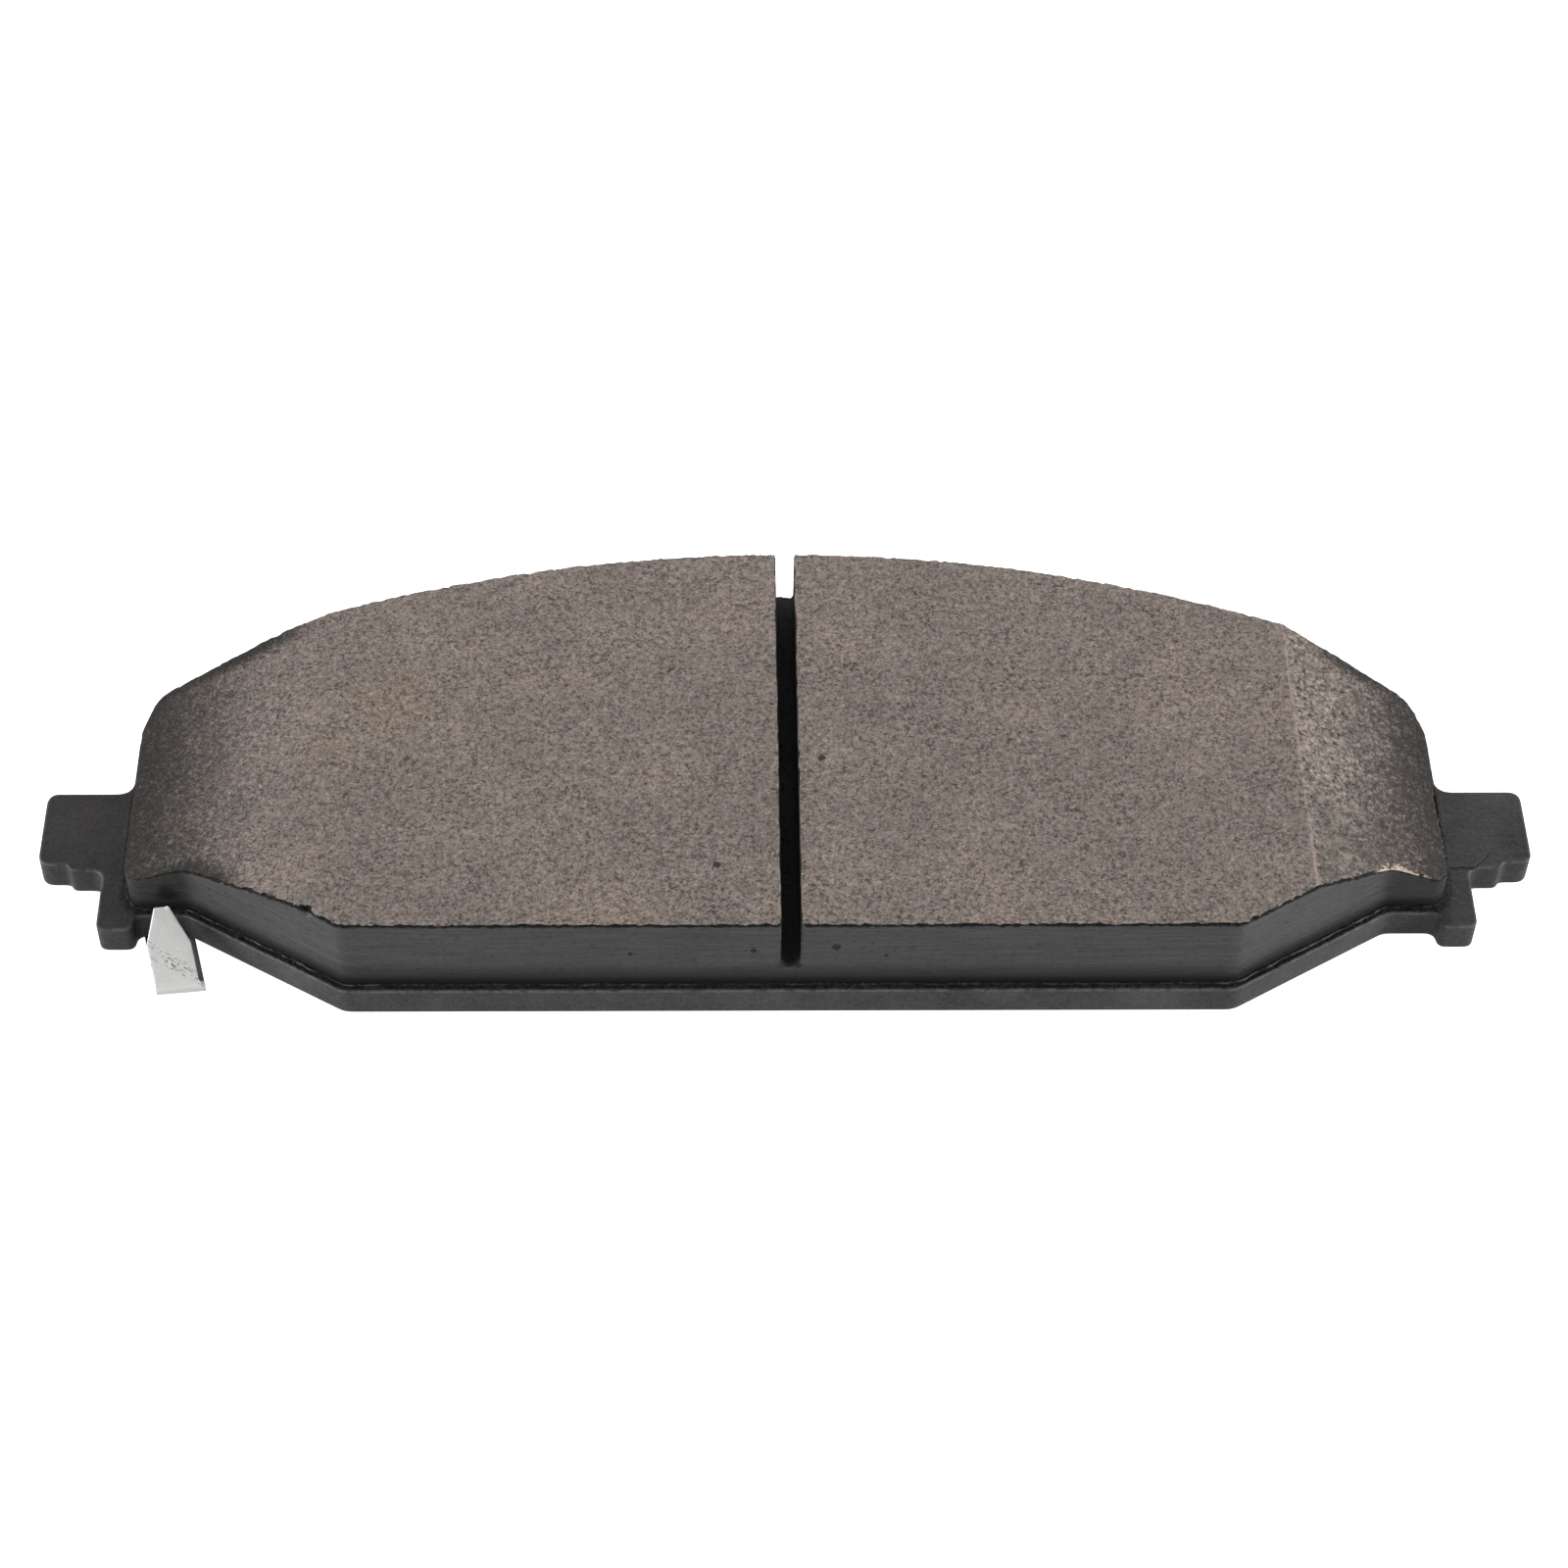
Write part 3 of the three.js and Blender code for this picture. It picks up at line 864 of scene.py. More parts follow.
def placed(plan, points):
    """From the indicator's own frame to the pad's, with the rivet as its anchor."""
    low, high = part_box("wear_indicator_rivet")
    rivet = np.array([mm(low.x + high.x) / 2, mm(low.y + high.y) / 2])
    across = np.array([math.cos(plan.bend_turn), math.sin(plan.bend_turn)])
    along = np.array([-math.sin(plan.leg_turn), math.cos(plan.leg_turn)])
    foot = rivet - mm(plan.leg) * along
    flat = foot + points[:, :1] * across + points[:, 1:2] * along
    base = mm(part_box("backing_plate")[0].z)
    return np.column_stack([flat, points[:, 2] + base])


def wear_indicator(context):
    """The zinc-plated strip, cut flat with rounded edges and then bent."""
    sizes, plan = sizes_of(context), context.scene.indicator_sizes
    outline = smoothed(resampled(anticlockwise(indicator_blank(plan)), 0.12), 3)
    thick, edge = mm(plan.thickness), mm(sizes.strip_edge)
    start = -(mm(plan.leg) - mm(plan.bend_radius + plan.thickness))
    hole = circle((0, start), mm(plan.hole_radius), 60)
    wide = circle((0, start), mm(plan.hole_edge), 60)
    shell = Shell()
    steps = quarter(edge, 3)
    steps += [(inset, thick - rise) for inset, rise in reversed(steps)]
    rings = [shell.ring(inset_by(outline, inset), level) for inset, level in steps]
    for lower, upper in zip(rings, rings[1:]):
        shell.bridge(lower, upper)
    low, high = shell.ring(wide, 0), shell.ring(hole, thick)
    shell.bridge(high, low)
    shell.cap([rings[0], low], 0, 0.3, False)
    shell.cap([rings[-1], high], thick, 0.3, True)
    flat, faces = shell.welded()
    faces = [face[::-1] for face in faces]
    points = placed(plan, bent(plan, flat[:, :2], flat[:, 2] / thick))
    tip = bend_length(plan) + mm(plan.rise_length)
    back = tip - flat[:, 1]
    side = flat[:, 0] - (-mm(plan.relief) / 2 + mm(plan.tip_width) / 2)
    burr = np.exp(-(back / 0.3) ** 2) * (0.35 + 0.9 * np.exp(-((side + 0.15) / 0.3) ** 2))
    burr *= 1 + 0.4 * wander(flat, 0.25, 41)
    points[:, 2] += mm(sizes.tip_burr) * burr
    points += 0.012 * wander(flat, 0.8, 42)[:, None]
    made = make_piece(
        "plated_wear_indicator", points, faces, zinc_material(context), 42,
        {"across": flat[:, 0], "along": flat[:, 1] - bend_length(plan), "through": flat[:, 2]},
    )
    settle(made, "zinc_plated_steel", "wear_indicator")


def indicator_rivet(context):
    """The rivet, turned from its profile, with a pressed dimple in its back head."""
    node = "wear_indicator_rivet"
    bottom, top = levels_of(node)
    low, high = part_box(node)
    centre = np.array([mm(low.x + high.x) / 2, mm(low.y + high.y) / 2])
    points = np.array([v.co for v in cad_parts[node].data.vertices]) / MM
    away = np.linalg.norm(points[:, :2] - centre, axis=1)
    back_head = away[points[:, 2] < bottom + 0.01].max()
    front_head = away[points[:, 2] > top - 0.01].max()
    shank = away[(points[:, 2] > bottom + 0.5) & (points[:, 2] < top - 0.5)].min()
    shank = min(shank, back_head - 0.5)
    plate = mm(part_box("backing_plate")[0].z)
    neck = top - mm(sizes_of(context).rivet_flare)
    # As (radius, level), from the dimple in the back head out and up to the front head.
    profile = [(0.9, bottom + 0.22), (1.35, bottom + 0.18), (1.7, bottom + 0.03),
               (back_head - 0.25, bottom), (back_head - 0.06, bottom + 0.05),
               (back_head, bottom + 0.16), (shank + 0.12, plate), (shank, plate + 0.2),
               (shank, neck), (front_head, top - 0.12), (front_head - 0.1, top),
               (0.9, top)]
    shell = Shell()
    rings = [shell.ring(circle(centre, radius, 72), level) for radius, level in profile]
    for lower, upper in zip(rings, rings[1:]):
        shell.bridge(lower, upper)
    shell.cap([rings[0]], profile[0][1], 0.3, False)
    shell.cap([rings[-1]], profile[-1][1], 0.3, True)
    points, faces = shell.welded()
    made = make_piece("peened_rivet", points, faces, rivet_material(context), 35)
    settle(made, "rivet_steel", node)


# ---------------------------------------------------------------- shader building


class Board:
    """Adds and joins shader nodes in one tree."""

    def __init__(self, tree):
        self.tree = tree

    def feed(self, socket, value):
        """Links a socket's value, or sets a plain one."""
        if isinstance(value, bpy.types.NodeSocket):
            self.tree.links.new(value, socket)
        else:
            socket.default_value = value

    def add(self, kind, inputs=None, **settings):
        """A new node with its settings, and its inputs linked or set."""
        made = self.tree.nodes.new(kind)
        for key, value in settings.items():
            setattr(made, key, value)
        for key, value in (inputs or {}).items():
            self.feed(made.inputs[key], value)
        return made

    def math(self, operation, first, second=0.5, third=0.5):
        inputs = {0: first, 1: second, 2: third}
        return self.add("ShaderNodeMath", inputs, operation=operation).outputs[0]

    def sum(self, first, *others):
        for other in others:
            first = self.math("ADD", first, other)
        return first

    def times(self, first, *others):
        for other in others:
            first = self.math("MULTIPLY", first, other)
        return first

    def highest(self, first, *others):
        for other in others:
            first = self.math("MAXIMUM", first, other)
        return first

    def step(self, value, low, high, start=0.0, end=1.0):
        """A soft step of a value from start to end as it goes from low to high."""
        inputs = {"Value": value, "From Min": low, "From Max": high}
        inputs.update({"To Min": start, "To Max": end})
        made = self.add("ShaderNodeMapRange", inputs, interpolation_type="SMOOTHSTEP")
        return made.outputs[0]

    def band(self, value, low, high, soft):
        """1 between low and high, with soft edges."""
        rise = self.step(value, low - soft, low + soft)
        return self.times(rise, self.step(value, high - soft, high + soft, 1.0, 0.0))

    def mix(self, share, first, second, blend="MIX"):
        made = self.add("ShaderNodeMix", data_type="RGBA", blend_type=blend)
        for number, value in ((0, share), (6, first), (7, second)):
            self.feed(made.inputs[number], value)
        return made.outputs[2]

    def place(self):
        """The point on the pad, in millimetres."""
        here = self.add("ShaderNodeTexCoord").outputs["Object"]
        made = self.add("ShaderNodeVectorMath", {0: here, "Scale": 1 / MM}, operation="SCALE")
        return made.outputs[0]

    def stretched(self, place, x=1.0, y=1.0, z=1.0):
        """The place with each axis divided, so that a pattern grows along it."""
        made = self.add("ShaderNodeVectorMath", {0: place, 1: (x, y, z)}, operation="DIVIDE")
        return made.outputs[0]

    def split(self, place):
        return self.add("ShaderNodeSeparateXYZ", {0: place}).outputs

    def noise(self, place, size, detail=2.0, roughness=0.5, shift=0.0):
        """Noise from 0 to 1 with lumps of about the given size."""
        moved = self.add("ShaderNodeVectorMath", {0: place, 1: (shift, shift * 1.7, shift * 0.6)})
        inputs = {"Vector": moved.outputs[0], "Scale": 1 / size, "Detail": detail}
        inputs["Roughness"] = roughness
        return self.add("ShaderNodeTexNoise", inputs).outputs["Fac"]

    def cells(self, place, size):
        """Distance to the nearest grain's middle, and one random value per grain."""
        made = self.add("ShaderNodeTexVoronoi", {"Vector": place, "Scale": 1 / size})
        chance = self.split(made.outputs["Color"])[0]
        return made.outputs["Distance"], chance

    def stored(self, name):
        """A value kept on the mesh."""
        return self.add("ShaderNodeAttribute", attribute_name=name).outputs["Fac"]

    def scaled(self, tint, value):
        """A colour made lighter or darker by a value."""
        shade = self.add("ShaderNodeCombineColor", {0: value, 1: value, 2: value}).outputs[0]
        return self.mix(1.0, tint, shade, "MULTIPLY")

    def bump(self, height, distance, strength=1.0):
        inputs = {"Height": height, "Distance": distance * MM, "Strength": strength}
        return self.add("ShaderNodeBump", inputs).outputs[0]

    def use(self, name, **inputs):
        """A shared node group, built on its first use, with its own values here."""
        group = bpy.data.node_groups.get(name) or GROUPS[name](name)
        made = self.add("ShaderNodeGroup", node_tree=group)
        for key, value in inputs.items():
            self.feed(made.inputs[key.replace("_", " ").capitalize()], value)
        return made.outputs


def rgba(tint):
    return (*tint, 1.0)


def grey(part):
    return (part, part, part, 1.0)


def new_group(name, inputs, outputs):
    """A shader node group: itself, its board, its incoming and its outgoing sockets."""
    group = bpy.data.node_groups.new(name, "ShaderNodeTree")
    for label, kind, default in inputs:
        made = group.interface.new_socket(label, in_out="INPUT", socket_type=kind)
        if default is not None:
            made.default_value = default
    for label in outputs:
        group.interface.new_socket(label, in_out="OUTPUT", socket_type="NodeSocketFloat")
    board = Board(group)
    entry = board.add("NodeGroupInput").outputs
    leave = board.add("NodeGroupOutput").inputs
    return group, board, entry, leave


FLOAT, VECTOR = "NodeSocketFloat", "NodeSocketVector"


def grain_group(name):
    """Fine mottling, dark pores and light flecks of a pressed compound."""
    group, board, entry, leave = new_group(
        name,
        [("Place", VECTOR, None), ("Size", FLOAT, 1.0), ("Pores", FLOAT, 0.4)],
        ["Mottle", "Pores", "Flecks"],
    )
    inverse = board.math("DIVIDE", 1.0, entry["Size"])
    place = board.add(
        "ShaderNodeVectorMath", {0: entry["Place"], "Scale": inverse}, operation="SCALE"
    ).outputs[0]
    fine = board.noise(place, 0.37, 3.0, 0.8)
    coarse = board.noise(place, 0.8, 2.0, 0.6, 5.0)
    mottle = board.sum(board.times(fine, 0.68), board.times(coarse, 0.32))
    board.feed(leave["Mottle"], mottle)
    clump = board.noise(place, 0.55, 2.5, 0.7, 11.0)
    spread = board.noise(place, 6.0, 1.0, 0.5, 3.0)
    limit = board.sum(entry["Pores"], board.times(board.sum(spread, -0.5), 0.14))
    pores = board.math("SUBTRACT", limit, clump)
    distance, chance = board.cells(place, 0.95)
    round_pore = board.times(
        board.step(distance, 0.12, 0.26, 1.0, 0.0), board.step(chance, 0.6, 0.66)
    )
    pores = board.highest(board.step(pores, 0.0, 0.09), board.times(round_pore, 0.8))
    board.feed(leave["Pores"], pores)
    distance, chance = board.cells(place, 0.62)
    flecks = board.times(
        board.step(distance, 0.1, 0.2, 1.0, 0.0), board.step(chance, 0.955, 0.965)
    )
    board.feed(leave["Flecks"], flecks)
    return group


def peel_group(name):
    """Orange peel, fine grit and level striae of a stoved coat."""
    group, board, entry, leave = new_group(
        name, [("Place", VECTOR, None), ("Grit", FLOAT, 0.5)], ["Height", "Tone", "Striae"]
    )
    place = entry["Place"]
    peel = board.noise(place, 0.9, 2.0, 0.5)
    grit = board.noise(place, 0.45, 3.0, 0.7, 4.0)
    height = board.sum(peel, board.times(grit, entry["Grit"]))
    board.feed(leave["Height"], height)
    cloud = board.noise(place, 9.0, 3.0, 0.6, 8.0)
    tone = board.sum(board.times(cloud, 0.45), board.times(grit, 0.55))
    board.feed(leave["Tone"], tone)
    striae = board.noise(board.stretched(place, 9.0, 9.0, 0.3), 1.0, 3.0, 0.6)
    board.feed(leave["Striae"], striae)
    return group


def scuff_group(name):
    """Thin scratches along the place's X, and scattered dents."""
    group, board, entry, leave = new_group(
        name, [("Place", VECTOR, None), ("Amount", FLOAT, 0.5)], ["Scratches", "Dents"]
    )
    long = board.stretched(entry["Place"], 3.2, 0.16, 3.2)
    line = board.noise(long, 1.0, 2.0, 0.5)
    limit = board.times(entry["Amount"], 0.3)
    low = board.sum(0.34, limit)
    board.feed(
        leave["Scratches"], board.step(board.math("SUBTRACT", low, line), 0.0, 0.05)
    )
    distance, chance = board.cells(entry["Place"], 0.7)
    rare = board.step(chance, 0.93, 0.94)
    board.feed(leave["Dents"], board.times(board.step(distance, 0.1, 0.2, 1.0, 0.0), rare))
    return group


GROUPS = {
    "Compound grain": grain_group,
    "Coat texture": peel_group,
    "Handling scuffs": scuff_group,
}


def new_material(name):
    """A material with a Principled shader: its board and the shader's inputs."""
    made = bpy.data.materials.new(name)
    made.use_nodes = True
    made.node_tree.nodes.clear()
    board = Board(made.node_tree)
    shader = board.add("ShaderNodeBsdfPrincipled")
    board.add("ShaderNodeOutputMaterial", {"Surface": shader.outputs[0]})
    return made, board, shader.inputs


# ---------------------------------------------------------------- finishes

COAT_SPECULAR = 0.16


def spot(board, place, x, y, radius, z=None):
    """1 at a point of the pad, falling to 0 at the radius; any height without a Z."""
    level = (1.0, 1.0, 0.0 if z is None else 1.0)
    flat = board.add("ShaderNodeVectorMath", {0: place, 1: level}, operation="MULTIPLY")
    centre = (x, y, z or 0.0)
    away = board.add("ShaderNodeVectorMath", {0: flat.outputs[0], 1: centre}, operation="DISTANCE")
    uneven = board.times(board.sum(board.noise(place, 0.5 * radius, 3.0, 0.6), -0.5), 0.8 * radius)
    return board.step(board.sum(away.outputs["Value"], uneven), 0.2 * radius, radius, 1.0, 0.0)


def overspray(board, place, rim):
    """How much coat has drifted onto the ground face, from 0 to 1."""
    x, y, _ = board.split(place)
    drift = board.times(board.sum(board.noise(place, 5.0, 3.0, 0.6), -0.5), 7.0)
    shifted = board.sum(x, drift)
    left = board.step(shifted, -93.0, -58.0, 1.0, 0.0)
    streaks = board.sum(board.noise(board.stretched(place, 0.5, 9.0, 9.0), 1.0, 2.0, 0.6), -0.5)
    right = board.step(board.sum(shifted, board.times(streaks, 5.0)), 68.0, 91.0, 0.06, 0.95)
    near = board.sum(rim, board.times(drift, 0.25))
    rim_band = board.step(near, 0.2, 6.0, 1.0, 0.0)
    upper = board.step(y, -6.0, 8.0)
    lower = board.step(y, -12.0, -9.0, 1.0, 0.0)
    upper_left = board.times(upper, board.step(x, -74.0, -58.0, 1.0, 0.0))
    upper_right = board.times(upper, board.step(x, 66.5, 79.0, 0.0, 0.9))
    lower_left = board.times(lower, board.step(x, -76.0, -68.0, 0.95, 0.0))
    side_right = board.times(board.step(x, 84.0, 86.0), 0.7)
    where = board.highest(upper_left, upper_right, lower_left, side_right)
    return board.highest(left, right, board.times(rim_band, where))


# The X, Y, radius and strength of each tan patch on the ground face.
WARM_PATCHES = ((-53.8, 5.0, 9.0, 1.0), (-64.5, -22.0, 7.0, 0.4), (-62.0, -4.0, 5.5, 0.7))
# The X, Y and radius of each hole that a grain has left in the ground face.
FACE_HOLES = ((4.5, -4.7, 0.75), (-9.7, -23.1, 0.8))
# The X, Z and radius of each hole in the long front wall.
WALL_HOLES = ((5.9, 13.7, 0.9), (-4.9, 13.1, 0.65), (12.5, 12.0, 0.5), (-21.0, 12.4, 0.55))


def ground_face(board, colours, place, grain):
    """The ground compound's colour: mottled, tan in patches, with pores and flecks."""
    right_chamfer = board.step(board.split(place)[0], 69.0, 69.6)
    coarse = board.use("Compound grain", place=place, size=1.7, pores=0.43)
    swing = board.sum(1.1, board.times(right_chamfer, 4.8))
    mottle = board.sum(board.times(board.sum(grain["Mottle"], -0.5), 4.7),
                       board.times(board.sum(coarse["Mottle"], -0.5), swing))
    cloud = board.noise(place, 16.0, 3.0, 0.55, 2.0)
    tone = board.times(board.sum(1.0, mottle), board.step(cloud, 0.3, 0.7, 0.94, 1.06))
    patches = [board.times(spot(board, place, x, y, radius), strength)
               for x, y, radius, strength in WARM_PATCHES]
    warm = board.highest(board.times(board.step(cloud, 0.5, 0.66), 0.4), *patches)
    fine = board.noise(place, 0.8, 2.0, 0.6, 13.0)
    warm = board.times(warm, board.step(fine, 0.3, 0.6, 0.4, 1.0))
    ground = board.mix(warm, rgba(colours.compound), rgba(colours.compound_warm))
    hue = board.sum(board.noise(place, 1.3, 3.0, 0.7, 21.0), -0.5)
    red, blue = board.sum(1.0, board.times(hue, 0.16)), board.sum(1.0, board.times(hue, -0.2))
    tint = board.add("ShaderNodeCombineColor", {0: red, 1: 1.0, 2: blue}).outputs[0]
    ground = board.scaled(board.mix(1.0, ground, tint, "MULTIPLY"), tone)
    pores = board.highest(board.times(grain["Pores"], 0.75),
                          board.times(coarse["Pores"], right_chamfer, 0.85))
    ground = board.mix(pores, ground, rgba(colours.compound_pit))
    ground = board.mix(board.times(grain["Flecks"], 0.6), ground, (0.5, 0.42, 0.33, 1.0))
    # Painted shade: the grain holes are near-black spots, with no recess in the mesh.
    holes = board.highest(*(spot(board, place, *hole) for hole in FACE_HOLES))
    return board.mix(board.step(holes, 0.2, 0.6, 0.0, 0.9), ground, (0.02, 0.018, 0.018, 1.0))


def chamfer_marks(board, place, ground):
    """Adds the right chamfer's pale ridge, dark blotches, painted shade beside the ridge, dark
    lower end and olive cast.
    """
    x, y, _ = board.split(place)
    wavy = board.sum(x, board.times(board.noise(place, 2.5), 0.25))
    ridge = board.times(board.band(wavy, 69.0, 69.45, 0.12),
                        board.step(board.noise(place, 1.4, 3.0, 0.6, 6.0), 0.36, 0.52))
    ground = board.mix(board.times(ridge, 0.55), ground, (0.37, 0.30, 0.285, 1.0))
    # Painted shade: a darker band on the chamfer just right of the ridge, in its lower half; merged
    # below with the real dark blotches.
    chamfer_painted_shade = board.times(board.band(x, 69.8, 72.6, 0.8), board.step(y, -6.0, -14.0))
    dark_blotches_and_shade = board.step(board.noise(place, 3.2, 2.0, 0.6, 9.0), 0.52, 0.66)
    dark_blotches_and_shade = board.times(dark_blotches_and_shade, board.band(x, 70, 82, 1.5), 0.55)
    dark_blotches_and_shade = board.times(board.highest(board.times(chamfer_painted_shade, 0.9), dark_blotches_and_shade), 0.6, 0.8)
    ground = board.mix(dark_blotches_and_shade, ground, (0.05, 0.05, 0.046, 1.0))
    low_part = board.times(board.band(x, 71.0, 82.0, 2.0), board.step(y, -9.0, -17.0, 0.0, 0.4))
    ground = board.mix(low_part, ground, (0.06, 0.058, 0.05, 1.0))
    olive = board.step(board.noise(place, 2.2, 4.0, 0.7, 31.0), 0.47, 0.62)
    olive = board.times(olive, board.band(x, 70.5, 79.0, 1.5), 0.3)
    return board.mix(olive, ground, (0.27, 0.245, 0.20, 1.0))


def dusted(board, colours, place, rim, grain, ground):
    """Adds the coat that has drifted onto the ground face."""
    mist = overspray(board, place, rim)
    mottle = board.sum(grain["Mottle"], -0.5)
    caught = board.sum(mist, board.times(mottle, -1.6), board.times(grain["Pores"], 0.15))
    caught = board.times(board.step(caught, 0.02, 0.98), board.step(mist, 0.0, 0.08))
    shade = board.sum(board.step(mist, 0.35, 1.0, 1.15, 0.62), board.times(mottle, 1.8))
    return board.mix(caught, ground, board.scaled(rgba(colours.coat_dust), shade))


def broken_edge(board, colours, place, rim, edge_noise, ground):
    """Adds the chips' dark insides and the pale raw break at the lower right."""
    x, y, _ = board.split(place)
    raw = board.times(board.band(x, 78.0, 86.8, 1.0), board.step(y, -14.0, -17.0))
    reach = board.sum(rim, board.times(board.sum(edge_noise, -0.5), 6.5),
                      board.step(x, 82.5, 84.0, 0.0, 0.7))
    raw = board.times(raw, board.step(reach, 0.1, 1.8, 1.0, 0.0))
    crumbs = board.times(board.band(x, 85.5, 90.0, 0.3), board.step(rim, 0.1, 0.7, 1.0, 0.0),
                         board.step(board.noise(place, 0.7, 2.0, 0.6, 17.0), 0.58, 0.66), 0.6)
    raw = board.highest(raw, crumbs)
    broken = board.mix(raw, rgba(colours.compound_pit), rgba(colours.compound_raw))
    broken = board.scaled(broken, board.sum(board.times(raw, 0.68), board.times(edge_noise, 0.3)))
    chipped = board.step(board.stored("chip"), 0.03, 0.07)
    return board.mix(board.highest(chipped, board.times(raw, 0.85)), ground, broken)


def wall_coat(board, colours, place, grain, peel, dark):
    """The coat on the block's walls, with fine dashes, holes and darker parts."""
    shade = board.sum(0.1, board.times(peel["Striae"], 0.95), board.times(peel["Tone"], 0.65))
    coat = board.scaled(rgba(colours.coat), shade)
    dashes = board.noise(board.stretched(place, 1.1, 1.1, 0.3), 1.0, 3.0, 0.7, 3.0)
    dashes = board.step(dashes, 0.34, 0.44, 0.6, 0.0)
    # Painted shade: the wall's holes are near-black spots, with no recess in the mesh.
    front = mm(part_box("friction_block")[0].y)
    holes = board.highest(*(spot(board, place, x, front, radius, z)
                            for x, z, radius in WALL_HOLES))
    holes = board.step(holes, 0.2, 0.6, 0.0, 0.9)
    coat = board.mix(board.highest(dashes, holes, board.times(grain["Pores"], 0.2)), coat,
                     grey(0.004))
    return board.mix(dark, coat, grey(0.005))


def compound_material(context):
    """Ground compound on the face, and stoving coat down the block's walls."""
    colours = context.scene.pad_colours
    material, board, shader = new_material("Ground friction compound")
    place = board.place()
    x, _, z = board.split(place)
    from_middle = board.math("ABSOLUTE", x)
    rim, drop, channel = map(board.stored, ("rim", "drop", "channel"))
    grain = board.use("Compound grain", place=place, pores=0.425)
    edge_noise = board.noise(place, 0.8, 3.0, 0.65, 7.0)
    uneven = board.sum(edge_noise, -0.5)

    ground = ground_face(board, colours, place, grain)
    ground = chamfer_marks(board, place, ground)
    ground = dusted(board, colours, place, rim, grain, ground)
    ground = broken_edge(board, colours, place, rim, edge_noise, ground)

    rugged = board.sum(drop, board.times(uneven, -1.1))
    black_edge = board.step(rugged, 0.18, 0.6, 1.0, 0.0)
    notch = board.times(board.step(from_middle, 78.0, 80.5), 0.45)
    # Painted shadow: the wall just behind the indicator's tip is darkened.
    indicator_painted_shadow = board.times(spot(board, place, -83.0, -20.5, 3.2, 9.0), 0.95)
    # Painted shade: the walls darken towards their base by the plate, most in the middle of the
    # pad.
    foot = board.times(board.step(z, 8.0, 10.8, 0.55, 0.0),
                       board.step(from_middle, 56.0, 62.0, 1.0, 0.5))
    dark = board.highest(board.times(black_edge, 0.95), board.times(channel, 0.1), notch,
                         indicator_painted_shadow, foot)
    peel = board.use("Coat texture", place=place, grit=0.5)
    coat = wall_coat(board, colours, place, grain, peel, dark)

    painted = board.step(board.sum(drop, board.times(uneven, -0.16)), 0.05, 0.13)
    board.feed(shader["Base Color"], board.mix(painted, ground, coat))
    rough = board.step(grain["Mottle"], 0.3, 0.7, 0.7, 0.95)
    coat_rough = board.highest(board.step(peel["Tone"], 0.3, 0.7, 0.42, 0.56),
                               board.times(channel, 0.85), board.times(black_edge, 0.9))
    change = board.math("SUBTRACT", coat_rough, rough)
    board.feed(shader["Roughness"], board.math("MULTIPLY_ADD", painted, change, rough))
    face_height = board.sum(board.times(grain["Mottle"], 0.8), board.times(grain["Pores"], -0.5))
    wall_height = board.sum(board.times(peel["Striae"], 0.7), board.times(peel["Height"], 0.12))
    change = board.math("SUBTRACT", wall_height, face_height)
    height = board.math("MULTIPLY_ADD", painted, change, face_height)
    board.feed(shader["Normal"], board.bump(height, 0.12, 0.8))
    shader["Specular IOR Level"].default_value = COAT_SPECULAR
    return material


def ear_crack(board, place):
    """A crack in the coat: level at the root of the right ear, then climbing to the right."""
    x, y, _ = board.split(place)
    turn, slope = 93.3, 1.19
    wave = board.times(board.sum(board.noise(place, 1.6, 3.0, 0.6, 12.0), -0.5), 1.3)
    level = board.sum(y, wave)
    run = board.times(board.band(level, -14.2, -13.9, 0.13), board.band(x, 89.9, 93.4, 0.3))
    climb = board.sum(level, board.times(board.sum(x, -turn), -slope))
    rise = board.times(board.band(climb, -14.5, -14.2, 0.16), board.band(x, 93.4, 95.6, 0.3))
    return board.highest(run, rise)


